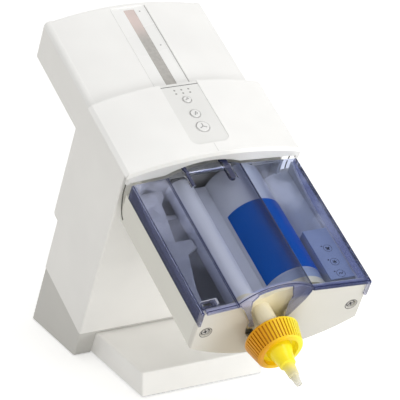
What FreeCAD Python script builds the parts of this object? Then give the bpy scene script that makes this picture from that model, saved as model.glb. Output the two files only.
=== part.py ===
import FreeCAD, Part
import math
import os

from FreeCAD import Vector, Matrix

# Desktop impression material mixer. Millimetres, +Z up, floor at Z = 0, front towards -Y.
# Two frames are used. The base stands in the machine frame. Everything above the foot is drawn in
# the head frame (x, v, n): x across, v rearwards along the head, n out of its top, and the head
# frame is tipped about X by the slope of the head.

HEAD_SLOPE = 26.7
FRAME_SHIFT_Y = 6.425
WALL = 3.0
JOIN_GAP = 0.3
RUN_FIT = 0.05
FREE_GAP = 0.8

# Base
BASE_WIDTH = 143.0
BASE_FRONT_Y = -14.0
BASE_REAR_Y = 200.0
BASE_TOP_Z = 28.9
BASE_CORNER = 2.0
BASE_EDGE = 2.0
BASE_CLEAR_Z = 1.0
BASE_PLATE_THICK = 1.2
BASE_PLATE_INSET = 1.0
RUBBER_RADIUS = 9.0
RUBBER_INSET_X = 14.0
RUBBER_INSET_Y = 16.0
COLUMN_SEAT_REAR_Y = 150.0

# Column and head shells
BODY_HALF = 92.5
COLUMN_FRONT_V = 101.0
COLUMN_BACK_V = 223.0
COLUMN_LOW_BACK_V = 203.0
COLUMN_STEP_N = 59.5
COLUMN_FOOT_N = -14.5
COLUMN_ROUND = 16.0
LOW_BACK_ROUND = 3.2
FRONT_ROUND = 2.2
HEAD_BOTTOM_N = 188.0
HEAD_TOP_N = 231.3
HEAD_REAR_V = 322.0
HEAD_REAR_BULGE = 3.0
HEAD_REAR_ROUND = 5.0
COVER_SEAM_V = 186.0
FOOT_INSET = 0.8
FOOT_REACH = 160.0
FOOT_WAY_GAP = 2.0
VENT_X = 45.0
VENT_WIDTH = 24.0
VENT_HEIGHT = 3.0
VENT_PITCH = 9.0
VENT_ROWS = 6
VENT_RISE = 30.5

# Rear cover
REAR_SHOULDER = 6.0
REAR_CROWN_N = HEAD_TOP_N + 16.5
STRIP_HALF = 20.5
STRIP_FLOOR_N = REAR_CROWN_N - 2.8
STRIP_THICK = 1.0
STRIP_FRONT_V = COVER_SEAM_V + 3.5
STRIP_REAR_V = HEAD_REAR_V - 2.0
WINDOW_HALF = 6.2
WINDOW_FRONT_V = STRIP_FRONT_V + 9.5
WINDOW_REAR_V = STRIP_REAR_V - 4.0
WINDOW_DEPTH = 3.0

# Front cover
COVER_HALF = 99.5
COVER_LEDGE_N = 241.0
COVER_BEVEL = 3.8
COVER_CROWN_N = COVER_LEDGE_N + 16.6
COVER_FRONT_V = 84.5
COVER_FRONT_BEVEL = 3.0
COVER_REAR_BULGE = 3.6
RIM_THICK = 3.0
RIM_INSET = 1.5
KEYPAD_HALF = 21.5
KEYPAD_TOP_N = COVER_CROWN_N - 1.2
KEYPAD_THICK = 1.2
KEYPAD_FRONT_V = COVER_FRONT_V + 16.5
KEYPAD_LENGTH = COVER_SEAM_V - KEYPAD_FRONT_V
KEYPAD_ROUND = 9.0
KEY_RADII = (4.1, 5.1, 6.6)
KEY_PLACES = (0.753, 0.506, 0.28)
KEY_STATIONS = tuple(KEYPAD_FRONT_V + KEYPAD_LENGTH * place for place in KEY_PLACES)
KEY_RISE = 1.0
KEY_FLANGE = 1.3
KEY_TRAVEL = 0.8
KEY_STEM_RADIUS = 1.6
LED_RADIUS = 1.1
LED_PITCH_X = 8.0
LED_PLACES = (0.929, 0.87)
LED_ROWS_V = tuple(KEYPAD_FRONT_V + KEYPAD_LENGTH * place for place in LED_PLACES)
BOARD_TOP_N = KEYPAD_TOP_N - 8.4
BOARD_THICK = 1.6
BOARD_HALF = 34.0
BOARD_REAR_V = COVER_SEAM_V - WALL - 0.6
BOARD_FRONT_V = KEYPAD_FRONT_V + 7.0
CHIP_PLACES = ((-22.0, 0.56), (20.0, 0.35), (-20.0, 0.24))
CHIP_SIZE = 10.0
CHIP_HEIGHT = 1.8
PILLAR_RADIUS = 3.0
PILLAR_X = 28.0
PILLAR_V = (BOARD_FRONT_V + PILLAR_RADIUS + 2.0, BOARD_REAR_V - PILLAR_RADIUS - 0.4)

# Compartment
TRAY_HALF = 93.0
TRAY_TOP_N = 215.0
TRAY_EDGE_N = 181.0
TRAY_BELLY_N = 155.0
TRAY_REAR_V = 87.0
TRAY_NECK_HALF = 80.0
TRAY_NECK_TOP_N = 231.0
TRAY_BACK_THICK = 3.0
PLATE_FRONT_V = -90.0
PLATE_THICK = 6.0
PLATE_CORNER = 2.0
PLATE_CHAMFER = 1.0
NOTCH_LEFT_X = -52.0
NOTCH_RIGHT_X = 26.0
NOTCH_LOW_RADIUS = 21.5
NOTCH_SHOULDER_N = 232.5
NOTCH_WAIST_N = 205.0
NOTCH_LEAN_LEFT = 4.5
NOTCH_LEAN_RIGHT = 4.0
NOTCH_GAP = 1.0
PLATE_SCREW_X = 81.0
PLATE_SCREW_N = 202.0
SCREW_CUP_RADIUS = 4.6
SCREW_CUP_DEPTH = 3.0
SCREW_HEAD_RADIUS = 3.4
SCREW_HEAD_HEIGHT = 2.0
SCREW_SHANK_RADIUS = 1.6
SCREW_SHANK_LENGTH = 9.0
CRADLE_THICK = 5.0
CRADLE_TOP_N = 200.0
CRADLE_STATIONS = (60.0, -66.0)
PANEL_LEFT_X = 60.5
PANEL_RIGHT_X = 87.2
PANEL_REAR_V = -6.5
PANEL_FRONT_V = -73.0
PANEL_TOP_N = 224.0
PANEL_THICK = 1.5
LEDGE_TOP_N = 213.0
LEDGE_FRONT_STEP = 27.0
LEDGE_EDGE = ((5.5, 78.0), (12.0, 68.0), (13.6, 54.0), (17.8, 28.0), (19.2, 17.5), (2.0, 17.5), (0.5, 6.0), (13.0, -0.7),
              (15.0, -9.7), (24.0, -44.7))
BENCH_TURN_N = 203.0

# Lid
LID_HALF = 93.4
LID_REAR_V = 81.5
LID_FRONT_V = -92.5
LID_THICK = 2.5
LID_SKIRT_N = 215.6
LID_GAP = 0.9
LID_LEFT_EDGE_N = 233.6
LID_LEFT_FOOT_N = 236.6
LID_RIGHT_EDGE_N = 235.4
LID_RIGHT_FOOT_N = 241.4
LID_HUMP_LEFT_X = -55.0
LID_HUMP_RIGHT_X = 27.0
LID_HUMP_CREST_X = -14.0
LID_HUMP_REAR_N = 248.9
LID_HUMP_FRONT_N = 254.4
HINGE_V = 77.5
HINGE_N = 243.4
HINGE_PIN_RADIUS = 1.5
HINGE_ARM_RADIUS = 3.0
HINGE_BOSS_RADIUS = 3.2
HINGE_ARMS = ((-38.2, -35.2), (4.6, 11.8))
HINGE_SLOT_GAP = 0.7
HINGE_TONGUE = 18.0
HINGE_BAR_HALF = 1.8
HINGE_POST_THICK = 2.5
HINGE_POST_DROP = 6.5
LATCH_X = (-89.0, -79.0)
LATCH_V = (-84.0, -78.5)
LATCH_TAB = 6.5
LATCH_RIM_WIDTH = 1.3
LATCH_RIM_RISE = 0.9
LATCH_THICK = 1.5
CORNER_NOTCH = 3.4
LOBE_TIP_N = 200.0
MOUTH_LEFT_EDGE = ((-35.4, 244.1), (-40.1, 237.4), (-38.4, 223.1), (-32.5, 209.1), (-28.5, 200.0))
MOUTH_RIGHT_EDGE = ((5.5, 200.0), (5.5, 208.1), (3.8, 221.8), (5.8, 234.4), (1.8, 248.5))
RIM_WIDTH = 2.4
RIM_LOW_N = 221.5
RIM_HIGH_N = 231.0
RIM_SWEEP_V = 20.0

# Cartridge
BARREL_LARGE_X = 27.2
BARREL_LARGE_N = 204.0
BARREL_LARGE_RADIUS = 32.0
BARREL_LARGE_WALL = 1.75
BARREL_SMALL_X = -35.0
BARREL_SMALL_N = 212.0
BARREL_SMALL_RADIUS = 14.5
BARREL_SMALL_WALL = 1.2
BARREL_WEB_N = 210.0
BARREL_WEB_THICK = 1.6
BARREL_REAR_V = 85.0
BARREL_FRONT_V = -72.0
CARTRIDGE_NOSE_V = -80.0
NECK_RADIUS = 13.0
NECK_BORE = 10.0
NECK_COLLAR_RADIUS = 17.0
NECK_COLLAR_LENGTH = 2.5
OUTLET_X = -14.0
OUTLET_N = 195.6
NECK_FRONT_V = -112.0
STUB_RADIUS = 9.2
STUB_SIDE = -4.0
STUB_RISE = 14.0
STUB_GAP = 1.5
LABEL_REAR_V = 35.0
LABEL_FRONT_V = -59.0
LABEL_THICK = 0.4
LABEL_GAP = 0.15
LABEL_START_DEG = -69.0
LABEL_END_DEG = 98.0
PISTON_LENGTH = 15.0
PISTON_REAR_V = 50.0
PISTON_GROOVE_SETBACK = 6.0
PISTON_GROOVE_WIDTH = 3.0
PISTON_GROOVE_DEPTH = 1.2

# Feed drive
STROKE = 104.0
ROD_LARGE_N = 212.0
ROD_LARGE_RADIUS = 7.0
ROD_SMALL_RADIUS = 5.0
DISC_LARGE_RADIUS = 29.4
DISC_SMALL_RADIUS = 12.4
DISC_THICK = 8.0
CROSSHEAD_V = (HEAD_REAR_V - 26.0, HEAD_REAR_V - 16.0)
CROSSHEAD_ROUND = 5.0
CROSSHEAD_X = (-47.0, 42.0)
CROSSHEAD_N = (200.0, 233.0)
SPINDLE_X = -4.0
SPINDLE_N = 220.0
SPINDLE_RADIUS = 5.5
SPINDLE_REAR_V = HEAD_REAR_V - 9.0
NUT_RADIUS = 10.0
NUT_LENGTH = 8.0
FEED_MOTOR_REAR_V = CROSSHEAD_V[0] - NUT_LENGTH - STROKE - 12.0
FEED_MOTOR_RADIUS = 16.5
GEARBOX_LENGTH = 24.0
REAR_PLATE_V = (HEAD_REAR_V - 12.5, HEAD_REAR_V - 8.5)
REAR_PLATE_HALF = 56.0
REAR_PLATE_TOP_N = HEAD_TOP_N + 4.7
INDICATOR_HALF = 4.5
INDICATOR_THICK = 3.0
INDICATOR_REACH = 5.0
INDICATOR_TOP_N = STRIP_FLOOR_N - 4.4
BULKHEAD_V = (107.0, 112.0)
BULKHEAD_HALF = 84.0
BULKHEAD_N = (150.0, 236.0)

# Mixer drive and mixing tip
SHAFT_RADIUS = 4.0
SHAFT_HEX = 6.5
MIX_MOTOR_REAR_V = 178.0
MIX_MOTOR_RADIUS = 9.5
SHAFT_FRONT_V = -118.0
SHAFT_HEX_LENGTH = 22.0
SHAFT_ENTRY = 29.0
RING_REAR_V = -103.8
RING_FRONT_V = -126.4
RING_REAR_RADIUS = 28.6
RING_FRONT_RADIUS = 23.6
RING_RIBS = 46
RING_RIB_DEPTH = 1.3
RING_RIM_LENGTH = 1.6
TIP_FLANGE_RADIUS = 18.5
TIP_STATIONS = ((-112.3, 18.5), (-120.5, 18.5), (-120.9, 13.2), (-126.0, 12.4), (-131.0, 10.4), (-136.5, 9.0),
                (-142.0, 8.2), (-143.0, 6.2), (-156.0, 5.2), (-157.0, 4.2), (-167.0, 3.2))
TIP_WALL = 1.4
ROTOR_RADIUS = 1.9
ROTOR_VANE_RADIUS = 4.2
ROTOR_LENGTH = 35.0
ROTOR_VANES = 4
ROTOR_VANE_PITCH = 5.0
SOCKET_FLOOR = 1.0
SOCKET_WALL = 2.2
SOCKET_DEPTH = 4.0

# Chassis and electrics
CHASSIS_THICK = 3.0
CHASSIS_HALF = 62.0
CHASSIS_POST_V = 114.0
CHASSIS_SHELF_N = 150.0
CHASSIS_SHELF_REAR_V = 214.0
SUPPLY_HALF = 50.0
SUPPLY_V = (119.0, 176.0)
SUPPLY_N = (20.0, 92.0)
SUPPLY_MARGIN = 14.0
SUPPLY_SLOT = 4.0
SUPPLY_SLOT_PITCH = 9.0
CHASSIS_FLANGE_Y = (107.0, 158.0)
BASE_SEAT_REAR_V = 161.0
INLET_X = 38.0
INLET_N = 26.0
INLET_HALF_X = 14.0
INLET_HALF_N = 10.5
INLET_FLANGE = 3.0
SWITCH_X = 2.0
SWITCH_HALF_X = 7.0
SWITCH_HALF_N = 10.5
ROCKER_RADIUS = 9.5
ROCKER_PIVOT_DEPTH = 4.0
ROCKER_TILT = 8.0
BACK_SCREWS = ((-72.0, 20.0), (72.0, 20.0), (-72.0, 48.0), (72.0, 48.0))


def block(x0, x1, v0, v1, n0, n1):
    lo = Vector(min(x0, x1), min(v0, v1), min(n0, n1))
    return Part.makeBox(abs(x1 - x0), abs(v1 - v0), abs(n1 - n0), lo)


def along_v(radius, x, n, v0, v1):
    return Part.makeCylinder(radius, abs(v1 - v0), Vector(x, min(v0, v1), n), Vector(0, 1, 0))


def along_x(radius, v, n, x0, x1):
    return Part.makeCylinder(radius, abs(x1 - x0), Vector(min(x0, x1), v, n), Vector(1, 0, 0))


def along_n(radius, x, v, n0, n1):
    return Part.makeCylinder(radius, abs(n1 - n0), Vector(x, v, min(n0, n1)), Vector(0, 0, 1))


def prism_x(points, x0, x1):
    wire = Part.makePolygon([Vector(x0, v, n) for v, n in points + points[:1]])
    return Part.Face(wire).extrude(Vector(x1 - x0, 0, 0))


def prism_v(points, v0, v1):
    wire = Part.makePolygon([Vector(x, v0, n) for x, n in points + points[:1]])
    return Part.Face(wire).extrude(Vector(0, v1 - v0, 0))


def wire_face(edges):
    return Part.Face(Part.Wire(edges))


def line(a, b):
    return Part.makeLine(a, b)


def arc(a, b, c):
    return Part.Arc(a, b, c).toShape()


def fuse(*shapes):
    body = shapes[0]
    for shape in shapes[1:]:
        body = body.fuse(shape)
    return body.removeSplitter()


def cut(body, *tools):
    for tool in tools:
        body = body.cut(tool)
    return body


def round_edges(body, radius, test):
    edges = [edge for edge in body.Edges if test(edge)]
    return body.makeFillet(radius, edges)


def is_line_along(edge, axis):
    ends = [vertex.Point for vertex in edge.Vertexes]
    if len(ends) != 2:
        return False
    step = ends[1].sub(ends[0])
    parts = [abs(step.x), abs(step.y), abs(step.z)]
    length = parts.pop(axis)
    return length > 1.0 and max(parts) < 1e-6


def to_machine(shape):
    turned = shape.copy()
    turned.rotate(Vector(0, 0, 0), Vector(1, 0, 0), HEAD_SLOPE)
    turned.translate(Vector(0, FRAME_SHIFT_Y, 0))
    return turned


def to_head(shape):
    turned = shape.copy()
    turned.translate(Vector(0, -FRAME_SHIFT_Y, 0))
    turned.rotate(Vector(0, 0, 0), Vector(1, 0, 0), -HEAD_SLOPE)
    return turned


def machine_box(x0, x1, y0, y1, z0, z1):
    return block(x0, x1, y0 + FRAME_SHIFT_Y, y1 + FRAME_SHIFT_Y, z0, z1)


def below_floor(clear):
    size = 2 * HEAD_REAR_V
    return to_head(machine_box(-size, size, -size, size, -size, clear))


# Base: moulded cover, steel bottom, rubber feet

def base_outline(inset, z0, z1):
    half = BASE_WIDTH / 2 - inset
    return machine_box(-half, half, BASE_FRONT_Y + inset, BASE_REAR_Y - inset, z0, z1)


def make_base_plate():
    body = base_outline(0.0, BASE_CLEAR_Z + BASE_PLATE_THICK, BASE_TOP_Z)
    body = round_edges(body, BASE_CORNER, lambda e: is_line_along(e, 2))
    top = [e for e in body.Edges if e.BoundBox.ZMin > BASE_TOP_Z - 0.01]
    body = body.makeFillet(BASE_EDGE, top)
    hollow = base_outline(WALL, 0.0, BASE_TOP_Z - WALL)
    return cut(body, hollow)


def make_base_bottom():
    body = base_outline(BASE_PLATE_INSET, BASE_CLEAR_Z, BASE_CLEAR_Z + BASE_PLATE_THICK)
    return round_edges(body, BASE_CORNER, lambda e: is_line_along(e, 2))


def make_rubber_feet():
    feet = []
    for x in (-1, 1):
        for y in (BASE_FRONT_Y + RUBBER_INSET_Y, BASE_REAR_Y - RUBBER_INSET_Y):
            centre = Vector(x * (BASE_WIDTH / 2 - RUBBER_INSET_X), y + FRAME_SHIFT_Y, 0)
            feet.append(Part.makeCylinder(RUBBER_RADIUS, BASE_CLEAR_Z, centre))
    return Part.makeCompound(feet)


# Foot: grey skirt between the column and the floor

def make_foot_wedge():
    low = -FOOT_REACH
    half = BODY_HALF - FOOT_INSET
    front, back = COLUMN_FRONT_V + FOOT_INSET, COLUMN_LOW_BACK_V - FOOT_INSET
    outer = block(-half, half, front, back, low, COLUMN_FOOT_N)
    outer = round_edges(outer, LOW_BACK_ROUND - FOOT_INSET, lambda e: is_corner_at(e, back))
    outer = round_edges(outer, FRONT_ROUND - FOOT_INSET, lambda e: is_corner_at(e, front))
    inner = block(-half + WALL, half - WALL, front + WALL, back - WALL, low, COLUMN_FOOT_N - WALL)
    way = block(-CHASSIS_HALF - FOOT_WAY_GAP, CHASSIS_HALF + FOOT_WAY_GAP, CHASSIS_POST_V - 2 * FOOT_WAY_GAP,
                BASE_SEAT_REAR_V, COLUMN_FOOT_N - 2 * WALL, 0)
    side = BASE_WIDTH / 2 + JOIN_GAP
    mouth = to_head(machine_box(-side, side, BASE_FRONT_Y - JOIN_GAP, COLUMN_SEAT_REAR_Y, -FOOT_WAY_GAP,
                                BASE_TOP_Z + JOIN_GAP))
    return cut(outer, inner, way, mouth, below_floor(BASE_CLEAR_Z))


def is_corner_at(edge, v):
    return is_line_along(edge, 2) and abs(edge.BoundBox.YMin - v) < 0.1


# Column and head shells: two mirrored halves that meet on the middle plane

def rear_trim(extra):
    reach = 40.0
    half = BODY_HALF + 20.0
    low, high = HEAD_BOTTOM_N - 20.0, REAR_CROWN_N + 20.0
    side_v = HEAD_REAR_V - extra
    mid_v = HEAD_REAR_V + HEAD_REAR_BULGE - extra
    a = Vector(-half, side_v, low)
    b = Vector(0, mid_v, low)
    c = Vector(half, side_v, low)
    face = wire_face([arc(a, b, c), line(c, Vector(half, mid_v + reach, low)),
                      line(Vector(half, mid_v + reach, low), Vector(-half, mid_v + reach, low)),
                      line(Vector(-half, mid_v + reach, low), a)])
    return face.extrude(Vector(0, 0, high - low))


def shell_profile(inset, top_front, top_rear, foot):
    front = COLUMN_FRONT_V + inset
    back = COLUMN_BACK_V - inset
    low_back = COLUMN_LOW_BACK_V - inset
    rear = HEAD_REAR_V + HEAD_REAR_BULGE + 5
    return [(front, top_front), (front, foot), (low_back, foot), (low_back, COLUMN_STEP_N + inset),
            (back, COLUMN_STEP_N + inset), (back, HEAD_BOTTOM_N + inset), (rear, HEAD_BOTTOM_N + inset),
            (rear, top_rear), (COVER_SEAM_V, top_rear), (COVER_SEAM_V, top_front)]


def make_side_shells():
    half = BODY_HALF
    outer = prism_x(shell_profile(0.0, COVER_LEDGE_N, HEAD_TOP_N, COLUMN_FOOT_N), -half, half)
    outer = round_edges(outer, COLUMN_ROUND, lambda e: is_corner_at(e, COLUMN_BACK_V))
    outer = round_edges(outer, LOW_BACK_ROUND, lambda e: is_corner_at(e, COLUMN_LOW_BACK_V))
    outer = round_edges(outer, FRONT_ROUND, lambda e: is_corner_at(e, COLUMN_FRONT_V))
    outer = outer.cut(rear_trim(0.0))
    inner = prism_x(shell_profile(WALL, COVER_LEDGE_N + 10, COVER_LEDGE_N + 10, COLUMN_FOOT_N - 10),
                    -half + WALL, half - WALL)
    inner = round_edges(inner, COLUMN_ROUND - WALL, lambda e: is_corner_at(e, COLUMN_BACK_V - WALL))
    inner = inner.cut(rear_trim(WALL))
    window = block(-TRAY_NECK_HALF + WALL, TRAY_NECK_HALF - WALL, COLUMN_FRONT_V - 5, COLUMN_FRONT_V + WALL + 1,
                   TRAY_EDGE_N - 8, COVER_LEDGE_N + 5)
    back = COLUMN_LOW_BACK_V - WALL - 1, COLUMN_LOW_BACK_V + 5
    inlet = block(INLET_X - INLET_HALF_X, INLET_X + INLET_HALF_X, back[0], back[1],
                  INLET_N - INLET_HALF_N, INLET_N + INLET_HALF_N)
    switch = block(SWITCH_X - SWITCH_HALF_X, SWITCH_X + SWITCH_HALF_X, back[0], back[1],
                   INLET_N - SWITCH_HALF_N, INLET_N + SWITCH_HALF_N)
    shell = cut(outer, inner, window, inlet, switch, *vent_slots())
    for x, n in BACK_SCREWS:
        shell = shell.cut(along_v(SCREW_SHANK_RADIUS, x, n, back[0], back[1]))
    reach = HEAD_REAR_V * 2
    left = shell.common(block(-reach, 0, -reach, reach, -reach, reach))
    right = shell.common(block(0, reach, -reach, reach, -reach, reach))
    return left, right


def vent_slots():
    half = VENT_WIDTH / 2
    v0, v1 = COLUMN_BACK_V - WALL - 1, COLUMN_BACK_V + 5
    low = COLUMN_STEP_N + VENT_RISE
    return [block(x - half, x + half, v0, v1, low + VENT_PITCH * i, low + VENT_PITCH * i + VENT_HEIGHT)
            for i in range(VENT_ROWS) for x in (-VENT_X, VENT_X)]


# Rear cover with the recessed level strip

def crowned_block(half, edge_n, shoulder, crown_n, v0, v1):
    a = Vector(-half, v0, edge_n)
    k = shoulder * (1 - math.sqrt(0.5))
    b = Vector(-half + k, v0, edge_n + shoulder - k)
    c = Vector(-half + shoulder, v0, edge_n + shoulder)
    top = Vector(0, v0, crown_n)
    d, e, f = [Vector(-p.x, p.y, p.z) for p in (c, b, a)]
    face = wire_face([arc(a, b, c), arc(c, top, d), arc(d, e, f), line(f, a)])
    return face.extrude(Vector(0, v1 - v0, 0))


def make_rear_cover():
    rear = HEAD_REAR_V + HEAD_REAR_BULGE + 5
    outer = crowned_block(BODY_HALF, HEAD_TOP_N, REAR_SHOULDER, REAR_CROWN_N, COVER_SEAM_V + JOIN_GAP, rear)
    outer = outer.cut(rear_trim(0.0))
    inner = crowned_block(BODY_HALF - WALL, HEAD_TOP_N, REAR_SHOULDER - WALL / 2, REAR_CROWN_N - WALL,
                          COVER_SEAM_V - 5, rear)
    inner = inner.cut(rear_trim(WALL))
    recess = block(-STRIP_HALF, STRIP_HALF, STRIP_FRONT_V, STRIP_REAR_V, STRIP_FLOOR_N, STRIP_FLOOR_N + 20)
    slot = block(-WINDOW_HALF, WINDOW_HALF, WINDOW_FRONT_V, WINDOW_REAR_V, STRIP_FLOOR_N - 10, STRIP_FLOOR_N + 5)
    edges = [e for e in outer.Edges if e.BoundBox.YMin > HEAD_REAR_V - 20 and e.BoundBox.ZMin > HEAD_TOP_N + 0.5]
    outer = outer.makeFillet(HEAD_REAR_ROUND / 2, edges)
    return cut(outer, inner, recess, slot)


def make_level_strip():
    body = block(-STRIP_HALF, STRIP_HALF, STRIP_FRONT_V, STRIP_REAR_V, STRIP_FLOOR_N, STRIP_FLOOR_N + STRIP_THICK)
    slot = block(-WINDOW_HALF, WINDOW_HALF, WINDOW_FRONT_V, WINDOW_REAR_V, STRIP_FLOOR_N - 5, STRIP_FLOOR_N + 5)
    return body.cut(slot)


def make_level_window():
    top = STRIP_FLOOR_N + STRIP_THICK - 0.3
    return block(-WINDOW_HALF, WINDOW_HALF, WINDOW_FRONT_V, WINDOW_REAR_V, top - WINDOW_DEPTH, top)


# Front cover with the keypad

def bevelled_block(half, ledge_n, bevel, crown_n, v0, v1):
    a = Vector(-half, v0, ledge_n)
    b = Vector(-half + bevel, v0, ledge_n + bevel)
    top = Vector(0, v0, crown_n)
    c, d = [Vector(-p.x, p.y, p.z) for p in (b, a)]
    face = wire_face([line(a, b), arc(b, top, c), line(c, d), line(d, a)])
    return face.extrude(Vector(0, v1 - v0, 0))


def keypad_outline(gap, n0, n1):
    half = KEYPAD_HALF + gap
    body = block(-half, half, KEYPAD_FRONT_V - gap, COVER_SEAM_V + 5, n0, n1)
    return round_edges(body, KEYPAD_ROUND + gap, lambda e: is_line_along(e, 2) and e.BoundBox.YMin < KEYPAD_FRONT_V + 1)


def lid_section_edges(v, crest_n, drop):
    half = LID_HALF - drop
    left = Vector(-half, v, LID_LEFT_EDGE_N - drop)
    foot_left = Vector(LID_HUMP_LEFT_X + drop, v, LID_LEFT_FOOT_N - drop)
    crest = Vector(LID_HUMP_CREST_X, v, crest_n - drop)
    foot_right = Vector(LID_HUMP_RIGHT_X, v, LID_RIGHT_FOOT_N - drop)
    right = Vector(half, v, LID_RIGHT_EDGE_N - drop)
    low_right = Vector(half, v, LID_SKIRT_N)
    low_left = Vector(-half, v, LID_SKIRT_N)
    return [line(low_left, left), line(left, foot_left), arc(foot_left, crest, foot_right),
            line(foot_right, right), line(right, low_right), line(low_right, low_left)]


def lid_block(drop, v_rear, v_front):
    span = LID_REAR_V - LID_FRONT_V
    rise = LID_HUMP_FRONT_N - LID_HUMP_REAR_N

    def section(v):
        crest = LID_HUMP_REAR_N + rise * (LID_REAR_V - v) / span
        return Part.Wire(lid_section_edges(v, crest, drop))

    return Part.makeLoft([section(v_rear), section(v_front)], True, True)


def cover_rear_trim():
    half = COVER_HALF + 20.0
    low, high = LID_LEFT_EDGE_N - 20.0, COVER_CROWN_N + 20.0
    far = COVER_SEAM_V + 60.0
    a = Vector(-half, COVER_SEAM_V, low)
    b = Vector(0, COVER_SEAM_V + COVER_REAR_BULGE, low)
    c = Vector(half, COVER_SEAM_V, low)
    d = Vector(half, far, low)
    e = Vector(-half, far, low)
    face = wire_face([arc(a, b, c), line(c, d), line(d, e), line(e, a)])
    return face.extrude(Vector(0, 0, high - low))


def make_front_cover():
    v0, v1 = COVER_FRONT_V, COVER_SEAM_V
    outer = bevelled_block(COVER_HALF, COVER_LEDGE_N, COVER_BEVEL, COVER_CROWN_N, v0, v1 + COVER_REAR_BULGE + 5)
    outer = outer.cut(cover_rear_trim())
    front = [e for e in outer.Edges if e.BoundBox.YMax < v0 + 0.01 and e.BoundBox.ZMin > COVER_LEDGE_N + 0.5]
    outer = outer.makeChamfer(COVER_FRONT_BEVEL, front)
    rim = block(-COVER_HALF + RIM_INSET, COVER_HALF - RIM_INSET, v0, v0 + RIM_THICK, LID_LEFT_EDGE_N - RIM_INSET,
                COVER_LEDGE_N)
    outer = fuse(outer, rim)
    inner = bevelled_block(COVER_HALF - WALL - COVER_BEVEL, COVER_LEDGE_N - 1, COVER_BEVEL, COVER_CROWN_N - WALL,
                           v0 + RIM_THICK, v1 - WALL)
    opening = lid_block(-LID_GAP, LID_REAR_V + 30, COVER_FRONT_V - 20)
    under = block(-BODY_HALF + WALL, BODY_HALF - WALL, v0 + RIM_THICK, v1 - WALL, COVER_LEDGE_N - 1,
                  COVER_LEDGE_N + WALL)
    rear_way = crowned_block(BODY_HALF + JOIN_GAP, HEAD_TOP_N, REAR_SHOULDER, REAR_CROWN_N + JOIN_GAP,
                             v1, v1 + COVER_REAR_BULGE + 5)
    recess = keypad_outline(0.0, KEYPAD_TOP_N - KEYPAD_THICK, COVER_CROWN_N + WALL)
    body = cut(outer, inner, under, opening, rear_way, recess)
    keys = [along_n(r + FREE_GAP + KEY_FLANGE, 0, v, BOARD_TOP_N, COVER_CROWN_N + WALL)
            for r, v in zip(KEY_RADII, KEY_STATIONS)]
    leds = [along_n(LED_RADIUS, LED_PITCH_X * i, v, BOARD_TOP_N, COVER_CROWN_N + WALL)
            for i in (-1, 0, 1) for v in LED_ROWS_V]
    body = cut(body, *(keys + leds))
    pillars = [along_n(PILLAR_RADIUS, x, v, BOARD_TOP_N, COVER_CROWN_N - WALL / 2)
               for x in (-PILLAR_X, PILLAR_X) for v in PILLAR_V]
    return fuse(body, *pillars)


def make_hinge_brackets():
    low, high = HINGE_N - HINGE_BAR_HALF, HINGE_N + HINGE_BAR_HALF
    seat = COVER_FRONT_V + RIM_THICK
    brackets = []
    for x0, x1 in HINGE_ARMS:
        half = (x1 - x0) / 2
        nose_v = HINGE_V - HINGE_TONGUE + half
        eye = along_x(HINGE_ARM_RADIUS, HINGE_V, HINGE_N, x0, x1)
        nose = along_n(half, x0 + half, nose_v, low, high)
        bar = block(x0, x1, nose_v, seat + HINGE_POST_THICK, low, high)
        post = block(x0, x1, seat, seat + HINGE_POST_THICK, low, COVER_CROWN_N - HINGE_POST_DROP)
        bore = along_x(HINGE_PIN_RADIUS, HINGE_V, HINGE_N, x0 - 1, x1 + 1)
        brackets.append(fuse(eye, nose, bar, post).cut(bore))
    return Part.makeCompound(brackets)


def make_keypad_panel():
    body = keypad_outline(-0.05, KEYPAD_TOP_N - KEYPAD_THICK, KEYPAD_TOP_N).cut(cover_rear_trim())
    holes = [along_n(r + FREE_GAP, 0, v, 0, 300) for r, v in zip(KEY_RADII, KEY_STATIONS)]
    leds = [along_n(LED_RADIUS, LED_PITCH_X * i, v, 0, 300) for i in (-1, 0, 1) for v in LED_ROWS_V]
    return cut(body, *(holes + leds))


def make_key(radius, station):
    top = KEYPAD_TOP_N + KEY_RISE
    cap = along_n(radius, 0, station, KEYPAD_TOP_N - KEYPAD_THICK - 1.5, top)
    rim = [e for e in cap.Edges if e.BoundBox.ZMin > top - 0.01]
    cap = cap.makeFillet(0.5, rim)
    flange_top = KEYPAD_TOP_N - KEYPAD_THICK - JOIN_GAP
    flange = along_n(radius + FREE_GAP + KEY_FLANGE / 2, 0, station, flange_top - 1.2, flange_top)
    stem = along_n(KEY_STEM_RADIUS, 0, station, BOARD_TOP_N + KEY_TRAVEL + 0.3, flange_top - 1.0)
    return fuse(cap, flange, stem)


def make_status_leds():
    low, high = BOARD_TOP_N, KEYPAD_TOP_N
    return Part.makeCompound([along_n(LED_RADIUS, LED_PITCH_X * i, v, low, high)
                              for i in (-1, 0, 1) for v in LED_ROWS_V])


def make_control_board():
    board = block(-BOARD_HALF, BOARD_HALF, BOARD_FRONT_V, BOARD_REAR_V, BOARD_TOP_N - BOARD_THICK, BOARD_TOP_N)
    length = BOARD_REAR_V - BOARD_FRONT_V
    chips = []
    for x, place in CHIP_PLACES:
        v = BOARD_FRONT_V + place * length
        chips.append(block(x - CHIP_SIZE / 2, x + CHIP_SIZE / 2, v - CHIP_SIZE / 2, v + CHIP_SIZE / 2,
                           BOARD_TOP_N, BOARD_TOP_N + CHIP_HEIGHT))
    return fuse(board, *chips)


# Compartment

def belly_outline(half, edge_n, belly_n, top_n, v0, v1):
    a = Vector(-half, v0, edge_n)
    b = Vector(0, v0, belly_n)
    c = Vector(half, v0, edge_n)
    face = wire_face([arc(a, b, c), line(c, Vector(half, v0, top_n)),
                      line(Vector(half, v0, top_n), Vector(-half, v0, top_n)), line(Vector(-half, v0, top_n), a)])
    return face.extrude(Vector(0, v1 - v0, 0))


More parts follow.
